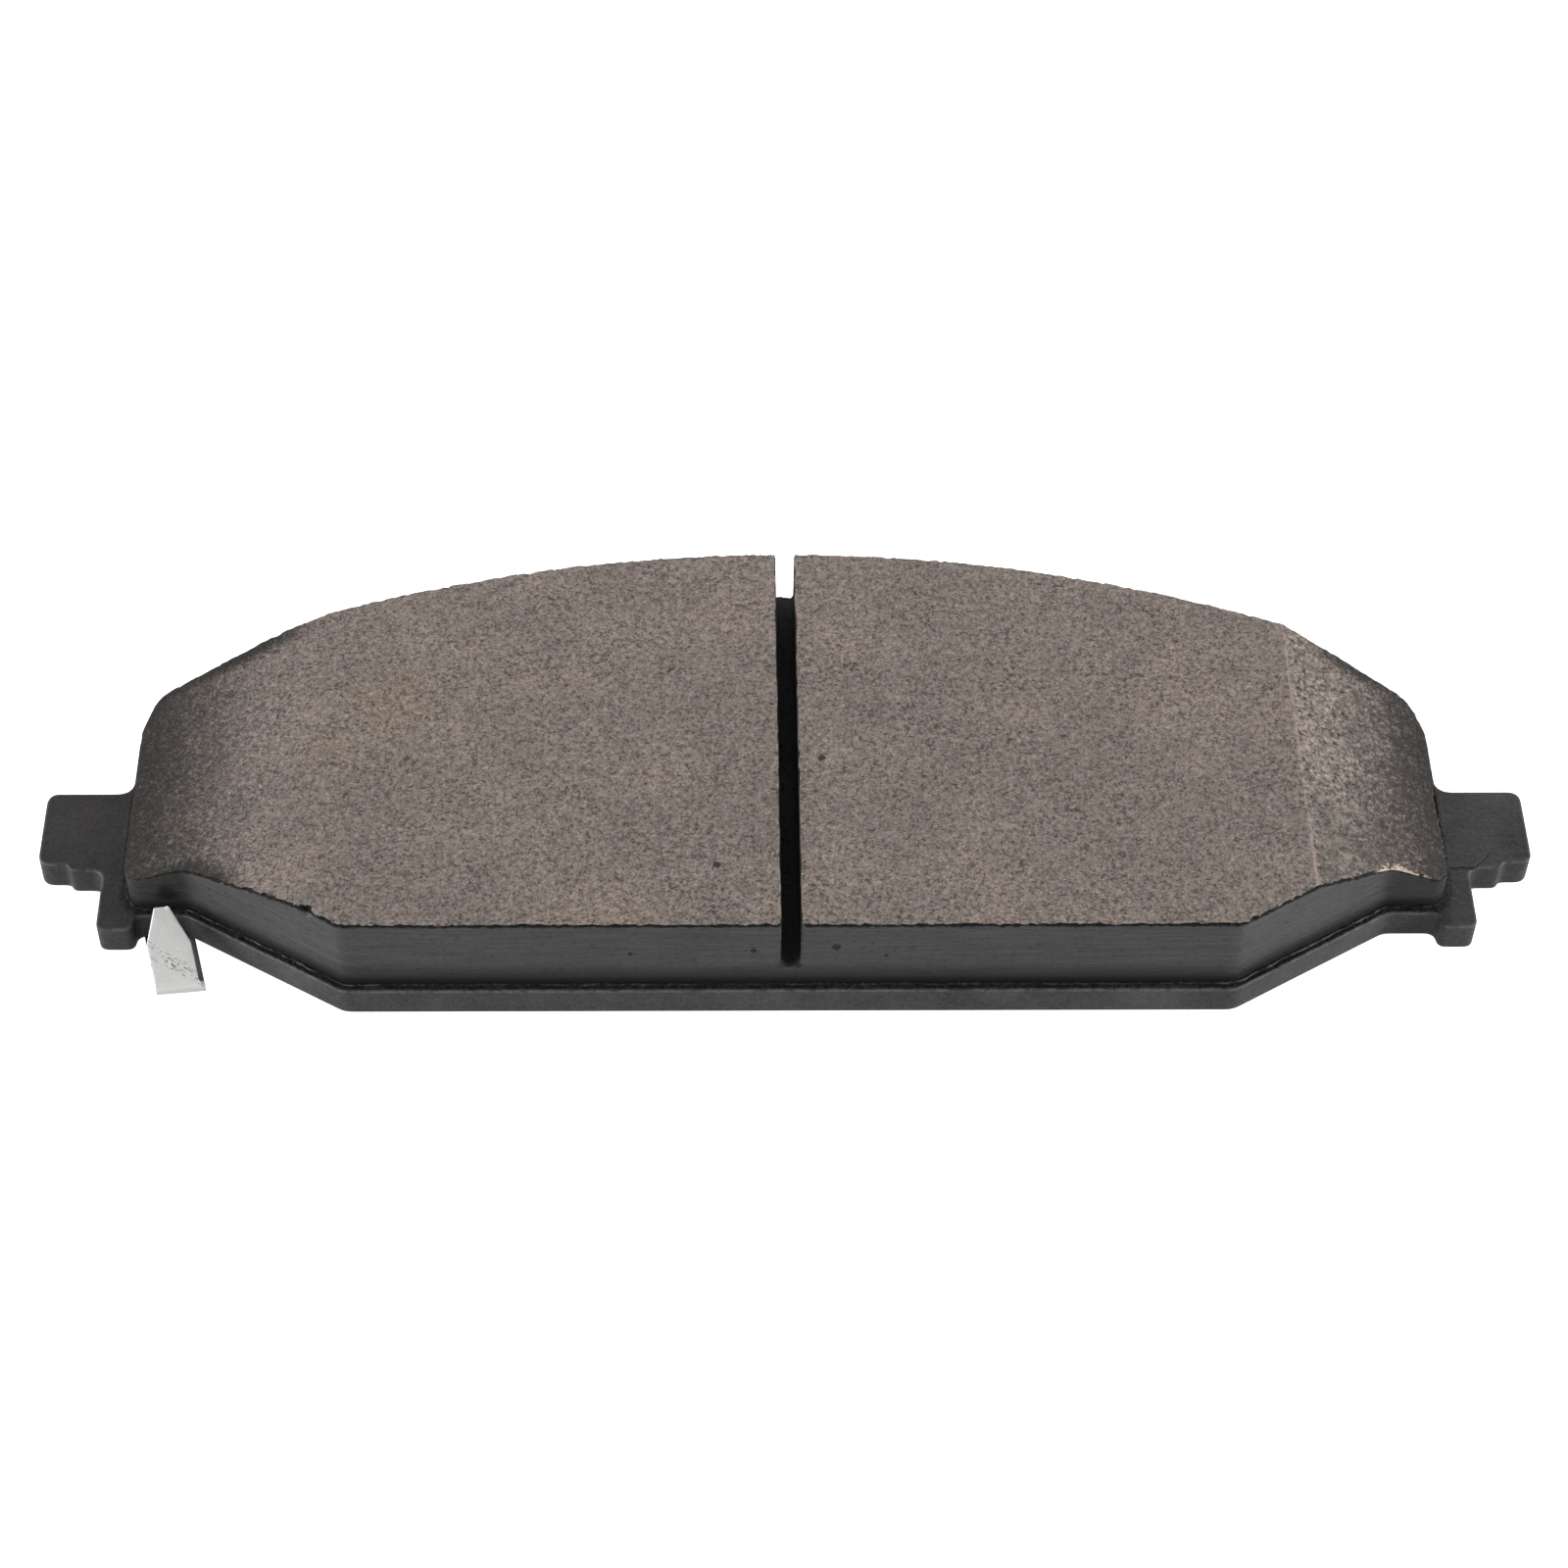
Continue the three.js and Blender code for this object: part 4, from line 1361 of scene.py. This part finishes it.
def coat_material(context):
    """Black stoving coat over the blanked plate, with a painted highlight along its front edges and
    painted shade on the ledge round the block.
    """
    colours = context.scene.pad_colours
    material, board, shader = new_material("Black stoving coat")
    place = board.place()
    x, y, _ = board.split(place)
    gap, fall, reach = board.stored("gap"), board.stored("fall"), board.stored("edge")
    texture = board.use("Coat texture", place=place, grit=0.8)
    scuffs = board.use("Handling scuffs", place=place, amount=0.1)
    tone = board.sum(-0.5, board.times(texture["Tone"], 2.1))
    tone = board.times(tone, board.step(fall, 0.05, 0.4, 1.0, 1.3))
    front = board.step(fall, 0.0, 0.05, 1.0, 0.0)
    right_ear = board.times(board.step(x, 88.0, 90.0), front)
    tone = board.times(tone, board.sum(1.0, board.times(right_ear, 0.4)))
    base = board.scaled(rgba(colours.coat), tone)
    # Ledge round the block: rough black crust of coat, darkened further as painted shade of the
    # crevice at the block's foot.
    crust = board.times(board.step(gap, 1.2, 1.9, 1.0, 0.0), board.step(gap, 0.0, 0.05), front)
    rough_noise = board.noise(place, 0.55, 3.0, 0.7, 3.0)
    ledge_crust_and_shade = board.times(crust, board.step(rough_noise, 0.4, 0.62, 0.85, 0.2))
    base = board.mix(ledge_crust_and_shade, base, grey(0.004))
    stain = board.times(board.band(x, -98.0, -93.5, 1.6), board.band(y, -8.0, -1.5, 2.0),
                        board.step(board.noise(place, 1.5, 3.0), 0.4, 0.6), 0.4)
    base = board.mix(stain, base, (0.05, 0.028, 0.022, 1.0))
    # Painted highlight: a broken light line along the outer edge of the front face.
    edge_highlight_breakup = board.step(board.noise(place, 1.2, 3.0, 0.6, 5.0), 0.34, 0.6, 0.25, 1)
    edge = board.times(board.step(reach, 0.2, 0.42, 1.0, 0.0), edge_highlight_breakup, 0.5)
    base = board.mix(edge, base, (0.13, 0.13, 0.135, 1.0))
    base = board.mix(board.times(scuffs["Dents"], 0.3), base, grey(0.09))
    rubbed = board.use("Handling scuffs", amount=0.3,
                       place=board.stretched(place, 0.8, 0.8, 0.8))
    base = board.mix(board.times(rubbed["Scratches"], right_ear, 0.3), base, grey(0.09))
    crack = board.times(ear_crack(board, place), front)
    base = board.mix(board.times(crack, 0.85), base, grey(0.004))
    board.feed(shader["Base Color"], base)
    board.feed(shader["Roughness"], board.step(texture["Tone"], 0.3, 0.7, 0.42, 0.58))
    side = board.noise(board.stretched(place, 4.0, 4.0, 0.5), 1.0, 2.0, 0.5)
    height = board.sum(board.times(texture["Height"], 0.6), board.times(rough_noise, crust, 1.6),
                       board.times(side, 0.4), board.times(crack, -1.5))
    board.feed(shader["Normal"], board.bump(height, 0.14, 0.9))
    shader["Specular IOR Level"].default_value = COAT_SPECULAR
    return material


def moulding_material(context):
    """The bonding layer's edge: coated, with a rough dark lip of flash, painted shade towards its
    foot and a painted highlight on the lip along the slants.
    """
    colours = context.scene.pad_colours
    material, board, shader = new_material("Coated bonding layer")
    place = board.place()
    lift, out = board.stored("lift"), board.stored("out")
    from_middle = board.math("ABSOLUTE", board.split(place)[0])
    texture = board.use("Coat texture", place=place, grit=1.0)
    striae = texture["Striae"]
    tone = board.sum(0.7, board.times(striae, 0.3), board.times(texture["Tone"], 0.3))
    base = board.scaled(rgba(colours.coat), tone)
    # Black coat, with painted shade growing towards the foot by the plate.
    foot = board.step(lift, 0.5, 2.3, 0.97, 0.55)
    base = board.mix(foot, base, (0.004, 0.004, 0.005, 1.0))
    # Painted highlight: the top of the flash lip, along the slanted walls.
    lip = board.times(board.step(out, 0.3, 0.42), board.step(lift, 0.1, 0.2),
                      board.step(board.noise(place, 1.8, 3.0, 0.6, 2.0), 0.36, 0.6))
    on_slants = board.times(board.step(from_middle, 50.0, 60.0, 0.25, 0.8),
                            board.step(from_middle, 79.0, 83.0, 1.0, 0.0))
    base = board.mix(board.times(lip, on_slants), base, (0.08, 0.08, 0.083, 1.0))
    specks = board.step(board.noise(place, 0.55, 3.0, 0.75, 9.0), 0.5, 0.64, 0.0, 0.4)
    specks = board.times(specks, board.step(out, 0.1, 0.3))
    base = board.mix(specks, base, (0.07, 0.07, 0.072, 1.0))
    board.feed(shader["Base Color"], base)
    board.feed(shader["Roughness"], board.step(texture["Tone"], 0.3, 0.7, 0.48, 0.66))
    height = board.sum(board.times(texture["Height"], 0.7), board.times(striae, 0.6))
    board.feed(shader["Normal"], board.bump(height, 0.14, 0.8))
    shader["Specular IOR Level"].default_value = COAT_SPECULAR
    return material


def zinc_material(context):
    """Matt zinc plating with scuffs across the rising strip, and painted shade on its sides, inner
    face, bend and leg.
    """
    colours = context.scene.pad_colours
    material, board, shader = new_material("Zinc plating")
    place = board.place()
    across, along, through = map(board.stored, ("across", "along", "through"))
    flat = board.add("ShaderNodeCombineXYZ", {0: across, 1: along, 2: through}).outputs[0]
    turned = board.add(
        "ShaderNodeVectorRotate", {"Vector": flat, "Angle": math.radians(38)},
        rotation_type="Z_AXIS",
    ).outputs[0]
    cloud = board.noise(place, 2.2, 4.0, 0.62)
    frost = board.noise(place, 0.35, 3.0, 0.6, 2.0)
    brushed = board.noise(board.stretched(flat, 0.22, 5.0, 1.0), 1.0, 2.0, 0.5)
    tone = board.sum(0.8, board.times(cloud, 0.2), board.times(frost, 0.12),
                     board.times(brushed, 0.08))
    # Painted shade: the sides and inner face are darkened, and so are the bend and the leg below
    # the rising strip.
    shade = board.times(board.step(through, 0.05, 0.15, 1.0, 0.42),
                        board.step(along, -0.9, 0.3, 0.74, 1.0))
    base = board.scaled(rgba(colours.zinc), board.times(tone, shade))
    scuffs = board.use("Handling scuffs", place=turned, amount=0.45)
    diagonal = board.sum(board.times(across, 0.62), board.times(along, 0.78))
    outer_side = board.step(through, 0.05, 0.2, 1.0, 0.0)
    zone = board.times(board.band(diagonal, 1.2, 2.9, 0.5), outer_side)
    worn = board.step(board.noise(flat, 0.5, 2.0, 0.6, 5.0), 0.46, 0.56)
    scratch = board.times(scuffs["Scratches"], zone, worn)
    dents = board.times(scuffs["Dents"], board.step(cloud, 0.4, 0.6, 0.2, 0.8))
    marks = board.times(board.highest(scratch, dents), 0.85)
    base = board.mix(marks, base, grey(0.04))
    board.feed(shader["Base Color"], base)
    board.feed(shader["Roughness"], board.step(frost, 0.3, 0.7, 0.42, 0.62))
    shader["Metallic"].default_value = 0.45
    height = board.sum(board.times(frost, 0.5), board.times(cloud, 0.5), board.times(scratch, -1.5))
    board.feed(shader["Normal"], board.bump(height, 0.05, 0.6))
    return material


def rubber_material(context):
    """The shim's matt rubber coat, with a fine leather-like grain and handling marks."""
    colours = context.scene.pad_colours
    material, board, shader = new_material("Shim rubber")
    place = board.place()
    texture = board.use("Coat texture", place=place, grit=1.0)
    scuffs = board.use("Handling scuffs", place=place, amount=0.22)
    tone = board.sum(0.75, board.times(texture["Tone"], 0.5))
    base = board.scaled(rgba(colours.rubber), tone)
    base = board.mix(board.times(scuffs["Scratches"], 0.25), base, grey(0.09))
    board.feed(shader["Base Color"], base)
    board.feed(shader["Roughness"], board.step(texture["Tone"], 0.3, 0.7, 0.62, 0.8))
    grain = board.noise(place, 0.22, 3.0, 0.6, 3.0)
    height = board.sum(board.times(grain, 0.6), board.times(texture["Height"], 0.4))
    board.feed(shader["Normal"], board.bump(height, 0.06, 0.7))
    return material


def steel_material(context):
    """The sheared edge of the shim's steel core."""
    colours = context.scene.pad_colours
    material, board, shader = new_material("Shim steel")
    place = board.place()
    sheared = board.noise(board.stretched(place, 0.3, 0.3, 3.0), 1.0, 3.0, 0.6)
    cloud = board.noise(place, 5.0, 3.0, 0.6, 4.0)
    tone = board.sum(0.66, board.times(sheared, 0.3), board.times(cloud, 0.36))
    base = board.scaled(rgba(colours.steel), tone)
    tarnish = board.step(cloud, 0.55, 0.75, 0.0, 0.35)
    base = board.mix(tarnish, base, (0.11, 0.085, 0.065, 1.0))
    board.feed(shader["Base Color"], base)
    board.feed(shader["Roughness"], board.step(sheared, 0.3, 0.7, 0.3, 0.5))
    shader["Metallic"].default_value = 0.9
    board.feed(shader["Normal"], board.bump(sheared, 0.05, 0.6))
    return material


def adhesive_material(context):
    """The thin line of adhesive between the shim and the plate."""
    colours = context.scene.pad_colours
    material, board, shader = new_material("Shim adhesive")
    place = board.place()
    smear = board.noise(place, 1.2, 3.0, 0.6)
    tone = board.sum(0.7, board.times(smear, 0.55))
    board.feed(shader["Base Color"], board.scaled(rgba(colours.adhesive), tone))
    board.feed(shader["Roughness"], board.step(smear, 0.3, 0.7, 0.4, 0.7))
    board.feed(shader["Normal"], board.bump(smear, 0.05, 0.8))
    return material


def rivet_material(context):
    """Peened rivet steel with a frosted, dull plating and dark blotches."""
    colours = context.scene.pad_colours
    material, board, shader = new_material("Rivet steel")
    place = board.place()
    frost = board.noise(place, 0.3, 3.0, 0.6)
    cloud = board.noise(place, 1.4, 3.0, 0.6, 6.0)
    tone = board.sum(0.7, board.times(frost, 0.2), board.times(cloud, 0.34))
    base = board.scaled(rgba(colours.steel), tone)
    base = board.mix(board.step(cloud, 0.58, 0.75, 0.0, 0.5), base, (0.07, 0.06, 0.05, 1.0))
    board.feed(shader["Base Color"], base)
    board.feed(shader["Roughness"], board.step(frost, 0.3, 0.7, 0.3, 0.52))
    shader["Metallic"].default_value = 0.95
    board.feed(shader["Normal"], board.bump(frost, 0.06, 0.7))
    return material


def floor_material(context):
    """White floor: hides the pad's shadow, is dimmer as a light, and clear from below."""
    stage = context.scene.stage_sizes
    material, board, shader = new_material("White floor")
    shader["Base Color"].default_value = (0.6, 0.6, 0.6, 1.0)
    shader["Roughness"].default_value = 0.9
    shader["Specular IOR Level"].default_value = 0.0
    shader["Emission Color"].default_value = (1.0, 1.0, 1.0, 1.0)
    seen = board.add("ShaderNodeLightPath").outputs["Is Camera Ray"]
    glow = board.math("MULTIPLY_ADD", seen, stage.floor_seen - stage.floor_glow, stage.floor_glow)
    board.feed(shader["Emission Strength"], glow)
    below = board.add("ShaderNodeNewGeometry").outputs["Backfacing"]
    board.feed(shader["Alpha"], board.math("SUBTRACT", 1.0, below))
    return material


# ---------------------------------------------------------------- stage

CAMERA_TARGET = (-0.2214, 5.2807, 1.0)
FLOOR_GAP = 0.0002


def camera_turn(stage):
    """The camera's rotation, from its elevation, turn and roll."""
    rise, turn, roll = stage.elevation, stage.turn, stage.roll
    back = Vector((math.sin(turn) * math.cos(rise), -math.cos(turn) * math.cos(rise),
                   math.sin(rise)))
    level = Vector((math.cos(turn), math.sin(turn), 0))
    upright = back.cross(level)
    right = math.cos(roll) * level + math.sin(roll) * upright
    up = math.cos(roll) * upright - math.sin(roll) * level
    return Matrix((right, up, back)).transposed()


def add_camera(context):
    """A camera that looks at the target from its distance and angles."""
    stage = context.scene.stage_sizes
    lens = bpy.data.cameras.new("studio_camera")
    lens.lens, lens.sensor_width = stage.lens, 36.0
    lens.clip_start, lens.clip_end = 0.01, 20.0
    camera = bpy.data.objects.new("studio_camera", lens)
    context.scene.collection.objects.link(camera)
    target = Vector(CAMERA_TARGET) * MM
    turn = camera_turn(stage)
    place = target + turn @ Vector((0, 0, stage.distance))
    camera.matrix_world = Matrix.Translation(place) @ turn.to_4x4()
    context.scene.camera = camera


def add_softbox(context, name, place, target, width, height, power):
    """A rectangular soft light that faces its target."""
    lamp = bpy.data.lights.new(name, "AREA")
    lamp.shape, lamp.size, lamp.size_y, lamp.energy = "RECTANGLE", width, height, power
    made = bpy.data.objects.new(name, lamp)
    context.scene.collection.objects.link(made)
    made.location = place
    away = Vector(place) - Vector(target)
    made.rotation_euler = away.to_track_quat("Z", "Y").to_euler()


def add_floor(context):
    """A floor that curls up far behind the pad, just below its lowest point."""
    body = bmesh.new()
    half, far, radius, steps = 2.5, 1.6, 0.8, 16
    section = [(-half, 0.0), (far, 0.0)]
    for k in range(1, steps + 1):
        turn = k / steps * math.pi / 2
        section.append((far + radius * math.sin(turn), radius * (1 - math.cos(turn))))
    section.append((far + radius, 2.4))
    sides = [[body.verts.new((x, y, z)) for y, z in section] for x in (-half, half)]
    for k in range(len(section) - 1):
        body.faces.new((sides[0][k], sides[1][k], sides[1][k + 1], sides[0][k + 1]))
    mesh = bpy.data.meshes.new("floor")
    body.to_mesh(mesh)
    body.free()
    mesh.shade_smooth()
    mesh.materials.append(floor_material(context))
    floor = bpy.data.objects.new("floor", mesh)
    context.scene.collection.objects.link(floor)
    floor.location.z = CAD_BOX[0].z - FLOOR_GAP


def add_surroundings(context):
    """Even white light from all round, shown without a film curve."""
    world = bpy.data.worlds.new("Soft white room")
    world.use_nodes = True
    sky = world.node_tree.nodes["Background"].inputs
    sky["Color"].default_value = (1.0, 1.0, 1.0, 1.0)
    sky["Strength"].default_value = context.scene.stage_sizes.sky
    context.scene.world = world
    context.scene.view_settings.view_transform = "Standard"
    context.scene.view_settings.look = "None"


def studio(context):
    """Floor, even surroundings, four softboxes and the camera."""
    add_floor(context)
    add_surroundings(context)
    middle = (0.0, 0.0, 0.01)
    add_softbox(context, "rear_softbox", (0.0, 0.28, 0.26), middle, 0.6, 0.2, 0.75)
    add_softbox(context, "left_softbox", (-0.8, -0.16, 0.14), middle, 0.5, 0.4, 11.0)
    add_softbox(context, "right_softbox", (0.8, -0.16, 0.14), middle, 0.5, 0.4, 11.0)
    add_softbox(context, "front_softbox", (0.0, -0.9, 0.12), middle, 1.2, 0.3, 1.5)
    add_camera(context)


# ---------------------------------------------------------------- operators and panel


class PAD_OT_friction_block(bpy.types.Operator):
    """Add the friction block with its slot, chamfers and chipped edges"""

    bl_idname = "brake_pad.friction_block"
    bl_label = "Friction Block"

    def execute(self, context):
        friction_block(context)
        return {"FINISHED"}


class PAD_OT_underlayer(bpy.types.Operator):
    """Add the bonding layer under the friction block, with its plugs and flash"""

    bl_idname = "brake_pad.underlayer"
    bl_label = "Bonding Layer"

    def execute(self, context):
        bonding_underlayer(context)
        return {"FINISHED"}


class PAD_OT_backing_plate(bpy.types.Operator):
    """Add the blanked and coated backing plate"""

    bl_idname = "brake_pad.backing_plate"
    bl_label = "Backing Plate"

    def execute(self, context):
        backing_plate(context)
        return {"FINISHED"}


class PAD_OT_shim(bpy.types.Operator):
    """Add the noise shim's rubber, steel and adhesive layers"""

    bl_idname = "brake_pad.shim"
    bl_label = "Noise Shim"

    def execute(self, context):
        shim_layers(context)
        return {"FINISHED"}


class PAD_OT_wear_indicator(bpy.types.Operator):
    """Add the bent wear indicator"""

    bl_idname = "brake_pad.wear_indicator"
    bl_label = "Wear Indicator"

    def execute(self, context):
        wear_indicator(context)
        return {"FINISHED"}


class PAD_OT_rivet(bpy.types.Operator):
    """Add the rivet that holds the wear indicator"""

    bl_idname = "brake_pad.rivet"
    bl_label = "Rivet"

    def execute(self, context):
        indicator_rivet(context)
        return {"FINISHED"}


class PAD_OT_studio(bpy.types.Operator):
    """Add the white floor, the soft lights and the camera"""

    bl_idname = "brake_pad.studio"
    bl_label = "Studio"

    def execute(self, context):
        studio(context)
        return {"FINISHED"}


class PAD_PT_pieces(bpy.types.Panel):
    """The pad's pieces and sizes in the sidebar"""

    bl_idname = "PAD_PT_pieces"
    bl_label = "Brake Pad"
    bl_space_type = "VIEW_3D"
    bl_region_type = "UI"
    bl_category = "Brake Pad"

    def draw(self, context):
        for step in OPERATORS:
            self.layout.operator(step.bl_idname)
        for name in SETTINGS:
            group = getattr(context.scene, name)
            box = self.layout.box()
            for key in group.__annotations__:
                box.prop(group, key)


OPERATORS = (
    PAD_OT_backing_plate,
    PAD_OT_underlayer,
    PAD_OT_friction_block,
    PAD_OT_shim,
    PAD_OT_wear_indicator,
    PAD_OT_rivet,
    PAD_OT_studio,
)
SETTINGS = {
    "pad_sizes": PadSizes,
    "indicator_sizes": IndicatorSizes,
    "pad_colours": PadColours,
    "stage_sizes": StageSizes,
}


def register():
    for kind in (*SETTINGS.values(), *OPERATORS, PAD_PT_pieces):
        bpy.utils.register_class(kind)
    for name, kind in SETTINGS.items():
        setattr(bpy.types.Scene, name, PointerProperty(type=kind))


def unregister():
    for name in SETTINGS:
        delattr(bpy.types.Scene, name)
    for kind in reversed((*SETTINGS.values(), *OPERATORS, PAD_PT_pieces)):
        bpy.utils.unregister_class(kind)


def main():
    register()
    for step in OPERATORS:
        family, name = step.bl_idname.split(".")
        getattr(getattr(bpy.ops, family), name)()


if __name__ == "__main__":
    main()
